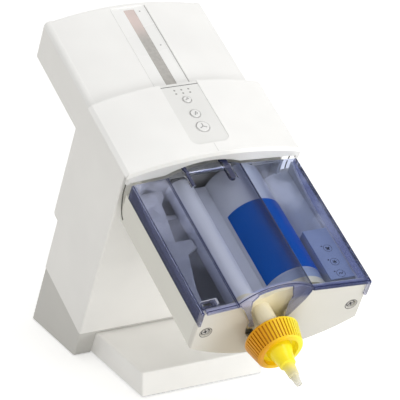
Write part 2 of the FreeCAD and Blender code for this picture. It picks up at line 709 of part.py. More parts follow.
def make_tray():
    front = PLATE_FRONT_V + PLATE_THICK
    outer = belly_outline(TRAY_HALF, TRAY_EDGE_N, TRAY_BELLY_N, TRAY_TOP_N, front, TRAY_REAR_V)
    inner = belly_outline(TRAY_HALF - WALL, TRAY_EDGE_N + WALL * 0.6, TRAY_BELLY_N + WALL, TRAY_TOP_N + 5,
                          front - 5, TRAY_REAR_V - WALL)
    neck_outer = belly_outline(TRAY_NECK_HALF, TRAY_EDGE_N - 6, TRAY_BELLY_N + 3, TRAY_NECK_TOP_N,
                               TRAY_REAR_V - WALL, COLUMN_FRONT_V)
    neck_inner = belly_outline(TRAY_NECK_HALF - WALL, TRAY_EDGE_N - 6 + WALL, TRAY_BELLY_N + 3 + WALL,
                               TRAY_NECK_TOP_N + 5, TRAY_REAR_V - 20, COLUMN_FRONT_V + 5)
    low_cut = block(-BODY_HALF, BODY_HALF, TRAY_REAR_V - 20, COLUMN_FRONT_V + 5, TRAY_NECK_TOP_N - 0.01,
                    COVER_CROWN_N)
    body = fuse(outer, neck_outer).cut(inner)
    body = cut(body, neck_inner.cut(low_cut))
    back_v = COLUMN_FRONT_V - TRAY_BACK_THICK - 2
    back = belly_outline(TRAY_NECK_HALF - 1, TRAY_EDGE_N - 5, TRAY_BELLY_N + 4, TRAY_NECK_TOP_N - 1,
                         back_v, back_v + TRAY_BACK_THICK)
    limit = belly_outline(TRAY_HALF - 0.5, TRAY_EDGE_N, TRAY_BELLY_N + 0.5, COVER_CROWN_N, front, COLUMN_FRONT_V)
    pieces = tray_cradles() + [tray_ledge(front), tray_right_bench()] + tray_panel_seat()
    body = fuse(body, back, *([piece.common(limit) for piece in pieces] + tray_rims(front)))
    bores = [along_v(BARREL_LARGE_RADIUS + JOIN_GAP, BARREL_LARGE_X, BARREL_LARGE_N, front - 5, TRAY_REAR_V + 3),
             along_v(BARREL_SMALL_RADIUS + JOIN_GAP, BARREL_SMALL_X, BARREL_SMALL_N, front - 5, TRAY_REAR_V + 3),
             along_v(ROD_LARGE_RADIUS + FREE_GAP, BARREL_LARGE_X, ROD_LARGE_N, 0, COLUMN_FRONT_V + 5),
             along_v(ROD_SMALL_RADIUS + FREE_GAP, BARREL_SMALL_X, BARREL_SMALL_N, 0, COLUMN_FRONT_V + 5),
             along_v(SHAFT_RADIUS + FREE_GAP, OUTLET_X, OUTLET_N, PLATE_FRONT_V, COLUMN_FRONT_V + 5)]
    return cut(body, *bores)


def tray_cradles():
    return [belly_outline(TRAY_HALF - 2, TRAY_EDGE_N, TRAY_BELLY_N + 1, CRADLE_TOP_N, v - CRADLE_THICK / 2,
                          v + CRADLE_THICK / 2) for v in CRADLE_STATIONS]


def tray_ledge(front):
    """Land along the left wall, with a curved edge and a rest beside the small barrel."""
    wall = -TRAY_HALF + 1
    rest = BARREL_SMALL_X - BARREL_SMALL_RADIUS
    low = LEDGE_TOP_N - WALL
    points = [Vector(rest - 3 * WALL / 2, TRAY_REAR_V - 1, low)]
    points += [Vector(rest - step, v, low) for step, v in LEDGE_EDGE]
    points += [Vector(rest - LEDGE_FRONT_STEP, front, low), Vector(wall, front, low), Vector(wall, TRAY_REAR_V - 1, low)]
    return Part.Face(Part.makePolygon(points + points[:1])).extrude(Vector(0, 0, WALL))


def tray_right_bench():
    """Wall beside the large barrel that leans out to the rim behind the panel."""
    x = PANEL_LEFT_X + WALL
    rim = LID_HALF - LID_THICK - FREE_GAP
    high, low = RIM_LOW_N - 1.5 * WALL, BENCH_TURN_N
    points = [(x - WALL, TRAY_BELLY_N), (x - WALL, low), (rim - WALL, high), (rim - 1, high), (rim - 1, high - WALL),
              (x, low - WALL), (x, TRAY_BELLY_N)]
    return prism_v(points, PANEL_REAR_V - 1, TRAY_REAR_V - 1)


def tray_panel_seat():
    seat_n = PANEL_TOP_N - PANEL_THICK
    v0, v1 = PANEL_FRONT_V, PANEL_REAR_V
    top = block(PANEL_LEFT_X, TRAY_HALF - 1, v0, v1, seat_n - WALL, seat_n)
    top = top.cut(block(PANEL_RIGHT_X, TRAY_HALF, v0 - 1, v1 + 1, TRAY_TOP_N, COVER_CROWN_N))
    wall = block(PANEL_LEFT_X, PANEL_LEFT_X + WALL, v0, v1, TRAY_BELLY_N, seat_n)
    rear = block(PANEL_LEFT_X, PANEL_RIGHT_X, v1 - WALL, v1, TRAY_EDGE_N, seat_n)
    return [top, wall, rear]


def tray_rims(front):
    """Upstanding rims inside the skirts of the lid, swept up at the rear."""
    low = TRAY_TOP_N - 2 * WALL
    outer = LID_HALF - LID_THICK - FREE_GAP
    rear = TRAY_REAR_V - 2 * WALL
    rims = []
    for x in (-outer, outer - RIM_WIDTH):
        a = Vector(x, front, low)
        b = Vector(x, front, RIM_LOW_N + 1)
        c = Vector(x, RIM_SWEEP_V, RIM_LOW_N)
        d = Vector(x, (RIM_SWEEP_V + rear) / 2, RIM_LOW_N + (RIM_HIGH_N - RIM_LOW_N) * 0.32)
        e = Vector(x, rear, RIM_HIGH_N)
        f = Vector(x, rear, low)
        face = wire_face([line(a, b), line(b, c), arc(c, d, e), line(e, f), line(f, a)])
        rims.append(face.extrude(Vector(RIM_WIDTH, 0, 0)))
    return rims


def notch_outline(gap, v0, v1):
    """Opening of the front plate around the neck, widened at its shoulders, drawn in by a gap."""
    left, right = NOTCH_LEFT_X + gap, NOTCH_RIGHT_X - gap
    radius = NOTCH_LOW_RADIUS - gap
    high = LID_HUMP_FRONT_N
    waist_l, waist_r = OUTLET_X - radius, OUTLET_X + radius
    top = prism_v([(left, high), (left, NOTCH_SHOULDER_N), (left + NOTCH_LEAN_LEFT, NOTCH_SHOULDER_N - 5),
                   (waist_l, NOTCH_WAIST_N), (waist_l, OUTLET_N), (waist_r, OUTLET_N), (waist_r, NOTCH_WAIST_N),
                   (right - NOTCH_LEAN_RIGHT, NOTCH_SHOULDER_N - 5), (right, NOTCH_SHOULDER_N + 5),
                   (right, high)], v0, v1)
    return fuse(top, along_v(radius, OUTLET_X, OUTLET_N, v0, v1))


def make_front_plate():
    v0, v1 = PLATE_FRONT_V, PLATE_FRONT_V + PLATE_THICK
    body = belly_outline(TRAY_HALF, TRAY_EDGE_N, TRAY_BELLY_N, TRAY_TOP_N, v0, v1)
    rim = [e for e in body.Edges if e.BoundBox.YMax < v0 + 0.01 and e.BoundBox.ZMin < TRAY_TOP_N - 0.1]
    body = body.makeChamfer(PLATE_CHAMFER, rim)
    drop = LID_THICK + FREE_GAP
    half = LID_HALF - drop
    upper = fuse(lid_block(drop, v1, v0), block(-half, half, v0, v1, TRAY_TOP_N - 1, LID_SKIRT_N + 1))
    corners = [e for e in upper.Edges if is_line_along(e, 1) and abs(abs(e.BoundBox.XMin) - half) < 0.01
               and e.BoundBox.ZMin > LID_SKIRT_N + 5]
    upper = upper.makeFillet(PLATE_CORNER, corners)
    body = fuse(body, upper).cut(notch_outline(0.0, v0 - 5, v1 + 5))
    for x in (-PLATE_SCREW_X, PLATE_SCREW_X):
        cup = Part.makeCone(SCREW_CUP_RADIUS + 1.0, SCREW_CUP_RADIUS, SCREW_CUP_DEPTH, Vector(x, v0, PLATE_SCREW_N),
                            Vector(0, 1, 0))
        hole = along_v(SCREW_SHANK_RADIUS, x, PLATE_SCREW_N, v0 - 1, v1 + 1)
        body = cut(body, cup, hole)
    return body


def make_screw(x, v, n, length):
    head = along_v(SCREW_HEAD_RADIUS, x, n, v - SCREW_HEAD_HEIGHT, v)
    cross = fuse(block(x - 0.5, x + 0.5, v - SCREW_HEAD_HEIGHT, v - 1, n - 2, n + 2),
                 block(x - 2, x + 2, v - SCREW_HEAD_HEIGHT, v - 1, n - 0.5, n + 0.5))
    shank = along_v(SCREW_SHANK_RADIUS, x, n, v, v + length)
    return fuse(head, shank).cut(cross)


def make_front_plate_screws():
    seat = PLATE_FRONT_V + SCREW_CUP_DEPTH
    return Part.makeCompound([make_screw(x, seat, PLATE_SCREW_N, PLATE_THICK - SCREW_CUP_DEPTH)
                              for x in (-PLATE_SCREW_X, PLATE_SCREW_X)])


def make_info_panel():
    return block(PANEL_LEFT_X, PANEL_RIGHT_X, PANEL_FRONT_V, PANEL_REAR_V, PANEL_TOP_N - PANEL_THICK, PANEL_TOP_N)


# Lid

def make_lid():
    outer = lid_block(0.0, LID_REAR_V, LID_FRONT_V)
    inner = lid_block(LID_THICK, LID_REAR_V + 5, LID_FRONT_V + LID_THICK)
    inside = LID_HALF - LID_THICK
    inner = fuse(inner, block(-inside, inside, LID_FRONT_V + LID_THICK, LID_REAR_V + 5, LID_SKIRT_N - 5,
                              LID_SKIRT_N + 2))
    v0, v1 = LID_FRONT_V - 1, LID_FRONT_V + LID_THICK + 0.5
    plate_way = fuse(lid_block(LID_THICK + FREE_GAP - JOIN_GAP, v1, v0),
                     block(-inside, inside, v0, v1, LID_SKIRT_N - 5, LID_SKIRT_N + 2))
    body = cut(outer, inner, plate_way.cut(notch_outline(NOTCH_GAP, v0 - 1, v1 + 1)))
    body = fuse(body, lid_lobes()).cut(neck_opening(v0, v1))
    slots = [block(x0 - HINGE_SLOT_GAP, x1 + HINGE_SLOT_GAP, HINGE_V - HINGE_TONGUE - HINGE_SLOT_GAP,
                   LID_REAR_V + 5, HINGE_N - 12, HINGE_N + 20) for x0, x1 in HINGE_ARMS]
    body = cut(body, *slots)
    gaps = HINGE_ARMS[0][1] + HINGE_SLOT_GAP, HINGE_ARMS[1][0] - HINGE_SLOT_GAP
    boss = along_x(HINGE_BOSS_RADIUS, HINGE_V, HINGE_N, gaps[0], gaps[1])
    web = block(gaps[0], gaps[1], HINGE_V - 1.2, HINGE_V + 1.2, HINGE_N, HINGE_N + 8).common(outer)
    body = fuse(body, boss, web, latch_rim())
    bore = along_x(HINGE_PIN_RADIUS + RUN_FIT, HINGE_V, HINGE_N, gaps[0] - 1, gaps[1] + 1)
    latch = block(LATCH_X[0], LATCH_X[1], LATCH_V[0], LATCH_V[1], LID_SKIRT_N, COVER_CROWN_N)
    corner = block(-inside, -inside + CORNER_NOTCH, v0, v1 + CORNER_NOTCH, LID_SKIRT_N, COVER_CROWN_N)
    return cut(body, bore, latch, corner)


def lid_lobes():
    v0, v1 = LID_FRONT_V, LID_FRONT_V + LID_THICK
    reach = block(-LID_HALF, LID_HALF, v0, v1, LOBE_TIP_N, LID_SKIRT_N + 1)
    return notch_outline(NOTCH_GAP, v0, v1).common(reach)


def neck_opening(v0, v1):
    left, right = MOUTH_LEFT_EDGE, MOUTH_RIGHT_EDGE
    outline = prism_v([(left[0][0], LID_HUMP_FRONT_N), *left, (left[-1][0], OUTLET_N), (right[0][0], OUTLET_N), *right,
                       (right[-1][0], LID_HUMP_FRONT_N)], v0, v1)
    skin = fuse(lid_block(LID_THICK, v1, v0), block(-LID_HALF, LID_HALF, v0, v1, OUTLET_N, LID_SKIRT_N + 1))
    return outline.common(skin)


def latch_rim():
    """Low raised lip around the right and rear of the finger slot."""
    raised = lid_block(-LATCH_RIM_RISE, LATCH_V[1] + LATCH_RIM_WIDTH, LATCH_V[0])
    low = lid_block(LID_THICK / 2, LATCH_V[1] + LATCH_RIM_WIDTH + 1, LATCH_V[0] - 1)
    rear = block(LATCH_X[0], LATCH_X[1] + LATCH_TAB, LATCH_V[1], LATCH_V[1] + LATCH_RIM_WIDTH, LID_SKIRT_N,
                 COVER_CROWN_N)
    tab = block(LATCH_X[1], LATCH_X[1] + LATCH_TAB, LATCH_V[0], LATCH_V[1] + LATCH_RIM_WIDTH, LID_SKIRT_N,
                COVER_CROWN_N)
    return raised.cut(low).common(fuse(rear, tab))


def make_lid_latch():
    """Catch on the back of the front plate, under the finger slot."""
    x0, x1 = LATCH_X[0] + FREE_GAP, LATCH_X[1] - FREE_GAP
    v0, v1 = PLATE_FRONT_V + PLATE_THICK, LATCH_V[1] - FREE_GAP
    top = LID_LEFT_EDGE_N - LID_THICK - 2 * FREE_GAP
    shelf = block(x0, x1, v0, v1, top - LATCH_THICK, top)
    hook = block(x0, x1, v1 - LATCH_THICK, v1, top - 3 * LATCH_THICK, top)
    return fuse(shelf, hook)


def make_lid_hinge_pin():
    return along_x(HINGE_PIN_RADIUS, HINGE_V, HINGE_N, HINGE_ARMS[0][0], HINGE_ARMS[1][1])


# Cartridge

def barrel(x, n, radius, wall):
    tube = along_v(radius, x, n, BARREL_FRONT_V, BARREL_REAR_V)
    bore = along_v(radius - wall, x, n, BARREL_FRONT_V + 2.0, BARREL_REAR_V + 5)
    return tube.cut(bore)


def make_barrel_large():
    """The large barrel with the web on its left side that keeps the small one beside it."""
    web = block(BARREL_SMALL_X, BARREL_LARGE_X, BARREL_FRONT_V, BARREL_REAR_V,
                BARREL_WEB_N - BARREL_WEB_THICK, BARREL_WEB_N)
    small = along_v(BARREL_SMALL_RADIUS + FREE_GAP, BARREL_SMALL_X, BARREL_SMALL_N,
                    BARREL_FRONT_V - 1, BARREL_REAR_V + 1)
    inside = along_v(BARREL_LARGE_RADIUS - BARREL_LARGE_WALL / 2, BARREL_LARGE_X, BARREL_LARGE_N,
                     BARREL_FRONT_V - 1, BARREL_REAR_V + 1)
    tube = barrel(BARREL_LARGE_X, BARREL_LARGE_N, BARREL_LARGE_RADIUS, BARREL_LARGE_WALL)
    return fuse(tube, web.cut(small).cut(inside))


def make_barrel_small():
    return barrel(BARREL_SMALL_X, BARREL_SMALL_N, BARREL_SMALL_RADIUS, BARREL_SMALL_WALL)


def make_cartridge_front():
    v0, v1 = CARTRIDGE_NOSE_V, BARREL_FRONT_V
    large = along_v(BARREL_LARGE_RADIUS, BARREL_LARGE_X, BARREL_LARGE_N, v0, v1)
    small = along_v(BARREL_SMALL_RADIUS, BARREL_SMALL_X, BARREL_SMALL_N, v0, v1)
    large_top = BARREL_LARGE_N + BARREL_LARGE_RADIUS - 1
    small_top = BARREL_SMALL_N + BARREL_SMALL_RADIUS - 1
    web = prism_v([(BARREL_SMALL_X, BARREL_SMALL_N - 12), (OUTLET_X - 12, OUTLET_N - 14),
                   (OUTLET_X + 12, OUTLET_N - 18), (BARREL_LARGE_X, BARREL_LARGE_N - 20),
                   (BARREL_LARGE_X, large_top), (OUTLET_X + 6, large_top - 5), (OUTLET_X - 4, small_top),
                   (BARREL_SMALL_X, small_top)], v0, v1)
    neck = along_v(NECK_RADIUS, OUTLET_X, OUTLET_N, NECK_FRONT_V, v1)
    collar = along_v(NECK_COLLAR_RADIUS, OUTLET_X, OUTLET_N, NECK_FRONT_V, NECK_FRONT_V + NECK_COLLAR_LENGTH)
    stub = along_v(STUB_RADIUS, OUTLET_X + STUB_SIDE, OUTLET_N + STUB_RISE, RING_REAR_V + STUB_GAP, v1)
    bore = along_v(NECK_BORE, OUTLET_X, OUTLET_N, NECK_FRONT_V - 1, v1 + 1)
    return fuse(large, small, web, neck, collar, stub).cut(bore)


def make_cartridge_label():
    sweep = LABEL_END_DEG - LABEL_START_DEG
    length = LABEL_REAR_V - LABEL_FRONT_V
    base = Vector(BARREL_LARGE_X, LABEL_FRONT_V, BARREL_LARGE_N)
    outer = Part.makeCylinder(BARREL_LARGE_RADIUS + LABEL_GAP + LABEL_THICK, length, base, Vector(0, 1, 0), sweep)
    inner = Part.makeCylinder(BARREL_LARGE_RADIUS + LABEL_GAP, length, base, Vector(0, 1, 0))
    body = outer.cut(inner)
    body.rotate(base, Vector(0, 1, 0), LABEL_START_DEG)
    return body


def make_piston(x, n, radius):
    body = along_v(radius, x, n, PISTON_REAR_V - PISTON_LENGTH, PISTON_REAR_V)
    rear = PISTON_REAR_V - PISTON_GROOVE_SETBACK
    groove = cut(along_v(radius + 1, x, n, rear - PISTON_GROOVE_WIDTH, rear),
                 along_v(radius - PISTON_GROOVE_DEPTH, x, n, rear - PISTON_GROOVE_WIDTH, rear))
    return body.cut(groove)


# Feed drive

def make_disc(x, n, radius):
    return along_v(radius, x, n, PISTON_REAR_V, PISTON_REAR_V + DISC_THICK)


def make_rod(x, n, radius):
    return along_v(radius, x, n, PISTON_REAR_V + DISC_THICK, CROSSHEAD_V[0])


def make_crosshead():
    body = block(CROSSHEAD_X[0], CROSSHEAD_X[1], CROSSHEAD_V[0], CROSSHEAD_V[1], CROSSHEAD_N[0], CROSSHEAD_N[1])
    body = round_edges(body, CROSSHEAD_ROUND, lambda e: is_line_along(e, 1))
    nut = along_v(NUT_RADIUS, SPINDLE_X, SPINDLE_N, CROSSHEAD_V[0] - NUT_LENGTH, CROSSHEAD_V[0])
    body = fuse(body, nut)
    bore = along_v(SPINDLE_RADIUS + RUN_FIT, SPINDLE_X, SPINDLE_N, 0, HEAD_REAR_V)
    return body.cut(bore)


def make_spindle():
    body = along_v(SPINDLE_RADIUS, SPINDLE_X, SPINDLE_N, FEED_MOTOR_REAR_V + JOIN_GAP, SPINDLE_REAR_V)
    coupling = along_v(SPINDLE_RADIUS + 1.5, SPINDLE_X, SPINDLE_N, FEED_MOTOR_REAR_V + JOIN_GAP, FEED_MOTOR_REAR_V + 2.0)
    return fuse(body, coupling)


def make_level_indicator():
    low = CROSSHEAD_N[1]
    post = block(-INDICATOR_HALF, INDICATOR_HALF, CROSSHEAD_V[1] - INDICATOR_THICK, CROSSHEAD_V[1], low,
                 INDICATOR_TOP_N - 2)
    flag = block(-INDICATOR_HALF, INDICATOR_HALF, CROSSHEAD_V[1] - INDICATOR_THICK, CROSSHEAD_V[1] + INDICATOR_REACH,
                 INDICATOR_TOP_N - 2, INDICATOR_TOP_N)
    return fuse(post, flag)


def make_rear_plate():
    v0, v1 = REAR_PLATE_V
    body = block(-REAR_PLATE_HALF, REAR_PLATE_HALF, v0, v1, HEAD_BOTTOM_N + WALL, REAR_PLATE_TOP_N)
    bore = along_v(SPINDLE_RADIUS + RUN_FIT, SPINDLE_X, SPINDLE_N, v0 - 5, v1 + 5)
    return body.cut(bore)


def make_bulkhead():
    v0, v1 = BULKHEAD_V
    body = block(-BULKHEAD_HALF, BULKHEAD_HALF, v0, v1, BULKHEAD_N[0], BULKHEAD_N[1])
    bores = [along_v(ROD_LARGE_RADIUS + RUN_FIT, BARREL_LARGE_X, ROD_LARGE_N, 0, 200),
             along_v(ROD_SMALL_RADIUS + RUN_FIT, BARREL_SMALL_X, BARREL_SMALL_N, 0, 200),
             along_v(SHAFT_RADIUS + 3.0, OUTLET_X, OUTLET_N, 0, 200)]
    return cut(body, *bores)


def make_feed_motor():
    v0, v1 = BULKHEAD_V[1], FEED_MOTOR_REAR_V
    gearbox = along_v(FEED_MOTOR_RADIUS, SPINDLE_X, SPINDLE_N, v0, v0 + GEARBOX_LENGTH)
    can = along_v(FEED_MOTOR_RADIUS - 1.5, SPINDLE_X, SPINDLE_N, v0 + GEARBOX_LENGTH, v1)
    return fuse(gearbox, can)


def make_mixer_motor():
    v0, v1 = BULKHEAD_V[1], MIX_MOTOR_REAR_V
    can = along_v(MIX_MOTOR_RADIUS, OUTLET_X, OUTLET_N, v0, v1)
    bore = along_v(SHAFT_RADIUS + RUN_FIT, OUTLET_X, OUTLET_N, v0 - 1, v0 + SHAFT_ENTRY + 1)
    return can.cut(bore)


def hexagon_along_v(across, x, n, v0, v1):
    radius = across / math.sqrt(3)
    points = [(x + radius * math.cos(math.radians(60 * i)), n + radius * math.sin(math.radians(60 * i)))
              for i in range(6)]
    return prism_v(points, v0, v1)


def make_drive_shaft():
    step = SHAFT_FRONT_V + SHAFT_HEX_LENGTH
    body = along_v(SHAFT_RADIUS, OUTLET_X, OUTLET_N, step, BULKHEAD_V[1] + SHAFT_ENTRY)
    tip = hexagon_along_v(SHAFT_HEX, OUTLET_X, OUTLET_N, SHAFT_FRONT_V, step)
    return fuse(body, tip)


def make_shaft_bearing():
    ring = along_v(SHAFT_RADIUS + 3.0, OUTLET_X, OUTLET_N, BULKHEAD_V[0], BULKHEAD_V[1])
    return ring.cut(along_v(SHAFT_RADIUS + RUN_FIT, OUTLET_X, OUTLET_N, 0, 200))


# Mixing tip

def turned(stations, x, n):
    points = [Vector(x, stations[0][0], n)]
    points += [Vector(x + radius, v, n) for v, radius in stations]
    points += [Vector(x, stations[-1][0], n)]
    wire = Part.makePolygon(points + points[:1])
    return Part.Face(wire).revolve(Vector(x, 0, n), Vector(0, 1, 0), 360)


def make_bayonet_ring():
    x, n = OUTLET_X, OUTLET_N
    body = turned([(RING_REAR_V, RING_REAR_RADIUS - 1.0), (RING_REAR_V - 1.0, RING_REAR_RADIUS),
                   (RING_FRONT_V + 1.5, RING_FRONT_RADIUS + 0.6), (RING_FRONT_V, RING_FRONT_RADIUS - 1.2)], x, n)
    tools = []
    pitch = 360.0 / RING_RIBS
    width = 2 * math.pi * RING_FRONT_RADIUS / RING_RIBS * 0.42
    length = RING_REAR_V - RING_FRONT_V
    for index in range(RING_RIBS):
        bar = block(-width / 2, width / 2, RING_FRONT_V + RING_RIM_LENGTH, RING_REAR_V - 2.5, 0, RING_REAR_RADIUS + 6)
        keep = Part.makeCone(RING_REAR_RADIUS - RING_RIB_DEPTH, RING_FRONT_RADIUS - RING_RIB_DEPTH,
                             length, Vector(0, RING_REAR_V, 0), Vector(0, -1, 0))
        bar = bar.cut(keep)
        bar.rotate(Vector(0, 0, 0), Vector(0, 1, 0), pitch * index)
        bar.translate(Vector(x, 0, n))
        tools.append(bar)
    bore = along_v(NECK_COLLAR_RADIUS + RUN_FIT, x, n, RING_REAR_V + 1, NECK_FRONT_V)
    tip_bore = along_v(TIP_FLANGE_RADIUS + RUN_FIT, x, n, NECK_FRONT_V, RING_FRONT_V - 1)
    return cut(body, bore, tip_bore, *tools)


def make_mixing_tip():
    x, n = OUTLET_X, OUTLET_N
    body = turned(list(TIP_STATIONS), x, n)
    inner = [(v, max(radius - TIP_WALL, 1.2)) for v, radius in TIP_STATIONS]
    inner[0] = (TIP_STATIONS[0][0] + 1.0, TIP_FLANGE_RADIUS - TIP_WALL - 4)
    inner[1] = (TIP_STATIONS[1][0] + TIP_WALL, TIP_FLANGE_RADIUS - TIP_WALL - 4)
    inner[-1] = (TIP_STATIONS[-1][0] - 1.0, inner[-1][1])
    return body.cut(turned(inner, x, n))


def make_mixer_rotor():
    x, n = OUTLET_X, OUTLET_N
    floor = SHAFT_FRONT_V - SOCKET_FLOOR
    socket = along_v(SHAFT_HEX / 2 + SOCKET_WALL, x, n, floor - SOCKET_WALL, SHAFT_FRONT_V + SOCKET_DEPTH)
    socket = socket.cut(hexagon_along_v(SHAFT_HEX, x, n, floor, SHAFT_FRONT_V + 2 * SOCKET_DEPTH))
    core = along_v(ROTOR_RADIUS, x, n, floor - ROTOR_LENGTH, floor - SOCKET_WALL / 2)
    vanes = []
    for index in range(ROTOR_VANES):
        v = floor - ROTOR_VANE_PITCH * (index + 1)
        arm = block(x - ROTOR_VANE_RADIUS, x + ROTOR_VANE_RADIUS, v - 1, v + 1, n - 0.8, n + 0.8)
        arm.rotate(Vector(x, v, n), Vector(0, 1, 0), 45 * index)
        vanes.append(arm)
    return fuse(socket, core, *vanes)


# Chassis and electrics

def make_chassis():
    post_v = CHASSIS_POST_V
    post = block(-CHASSIS_HALF, CHASSIS_HALF, post_v, post_v + CHASSIS_THICK, COLUMN_FOOT_N - 5 * WALL, CHASSIS_SHELF_N)
    shelf = block(-CHASSIS_HALF, CHASSIS_HALF, BULKHEAD_V[0], CHASSIS_SHELF_REAR_V,
                  CHASSIS_SHELF_N - CHASSIS_THICK, CHASSIS_SHELF_N)
    ledge = block(-CHASSIS_HALF, CHASSIS_HALF, post_v, SUPPLY_V[1] + 4, SUPPLY_N[0] - CHASSIS_THICK, SUPPLY_N[0])
    flange = to_head(machine_box(-CHASSIS_HALF, CHASSIS_HALF, CHASSIS_FLANGE_Y[0], CHASSIS_FLANGE_Y[1], BASE_TOP_Z,
                                 BASE_TOP_Z + CHASSIS_THICK))
    frame = cut(fuse(post, shelf, ledge), below_floor(BASE_TOP_Z))
    frame = fuse(frame, flange)
    way = OUTLET_N - MIX_MOTOR_RADIUS
    shaft_way = block(-CHASSIS_HALF / 2, CHASSIS_HALF / 2, post_v + 8, COLUMN_LOW_BACK_V, CHASSIS_SHELF_N - 10, way)
    return frame.cut(shaft_way)


def make_power_supply():
    case = block(-SUPPLY_HALF, SUPPLY_HALF, SUPPLY_V[0], SUPPLY_V[1], SUPPLY_N[0], SUPPLY_N[1])
    count = int((2 * SUPPLY_HALF - 2 * SUPPLY_MARGIN) // SUPPLY_SLOT_PITCH) + 1
    first = -SUPPLY_SLOT_PITCH * (count - 1) / 2
    slots = []
    for i in range(count):
        x = first + SUPPLY_SLOT_PITCH * i
        slots.append(block(x - SUPPLY_SLOT / 2, x + SUPPLY_SLOT / 2, SUPPLY_V[1] - 2, SUPPLY_V[1] + 2,
                           SUPPLY_N[0] + SUPPLY_MARGIN, SUPPLY_N[1] - SUPPLY_MARGIN))
    return cut(case, *slots)


def make_power_inlet():
    v = COLUMN_LOW_BACK_V
    body = block(INLET_X - INLET_HALF_X, INLET_X + INLET_HALF_X, v - 16, v, INLET_N - INLET_HALF_N,
                 INLET_N + INLET_HALF_N)
    flange = block(INLET_X - INLET_HALF_X - INLET_FLANGE, INLET_X + INLET_HALF_X + INLET_FLANGE, v, v + 1.6,
                   INLET_N - INLET_HALF_N - 1.5, INLET_N + INLET_HALF_N + 1.5)
    mouth = block(INLET_X - INLET_HALF_X + 2.5, INLET_X + INLET_HALF_X - 2.5, v - 12, v + 5,
                  INLET_N - INLET_HALF_N + 2.5, INLET_N + INLET_HALF_N - 2.5)
    pins = [block(INLET_X + dx - 1, INLET_X + dx + 1, v - 13, v - 2, INLET_N + dn - 1.5, INLET_N + dn + 1.5)
            for dx, dn in ((-6, 1.5), (0, -2), (6, 1.5))]
    return fuse(fuse(body, flange).cut(mouth), *pins)


def make_switch_frame():
    v = COLUMN_LOW_BACK_V
    body = block(SWITCH_X - SWITCH_HALF_X, SWITCH_X + SWITCH_HALF_X, v - 14, v, INLET_N - SWITCH_HALF_N,
                 INLET_N + SWITCH_HALF_N)
    flange = block(SWITCH_X - SWITCH_HALF_X - 1.5, SWITCH_X + SWITCH_HALF_X + 1.5, v, v + 1.4,
                   INLET_N - SWITCH_HALF_N - 1.5, INLET_N + SWITCH_HALF_N + 1.5)
    mouth = block(SWITCH_X - SWITCH_HALF_X + 1.5, SWITCH_X + SWITCH_HALF_X - 1.5, v - 11, v + 5,
                  INLET_N - SWITCH_HALF_N + 1.2, INLET_N + SWITCH_HALF_N - 1.2)
    return fuse(body, flange).cut(mouth)


def make_power_switch():
    v = COLUMN_LOW_BACK_V - ROCKER_PIVOT_DEPTH
    x0, x1 = SWITCH_X - SWITCH_HALF_X + 2.0, SWITCH_X + SWITCH_HALF_X - 2.0
    half = SWITCH_HALF_N - 2.4
    body = prism_x([(v - 3, INLET_N - 5), (v - 3, INLET_N + 5), (v + 3.4, INLET_N + half), (v + 5.6, INLET_N + half),
                    (v + 4.4, INLET_N), (v + 5.6, INLET_N - half), (v + 3.4, INLET_N - half)], x0, x1)
    body.rotate(Vector(SWITCH_X, v, INLET_N), Vector(1, 0, 0), ROCKER_TILT)
    axle = along_x(1.2, v, INLET_N, x0 - 0.45, x1 + 0.45)
    return fuse(body, axle)


def make_cover_screws():
    screws = []
    for x, n in BACK_SCREWS:
        v = COLUMN_LOW_BACK_V
        head = along_v(SCREW_HEAD_RADIUS, x, n, v, v + 1.8)
        slot = block(x - 2.4, x + 2.4, v + 0.9, v + 3, n - 0.5, n + 0.5)
        shank = along_v(SCREW_SHANK_RADIUS, x, n, v - 8, v)
        screws.append(fuse(head, shank).cut(slot))
    return Part.makeCompound(screws)


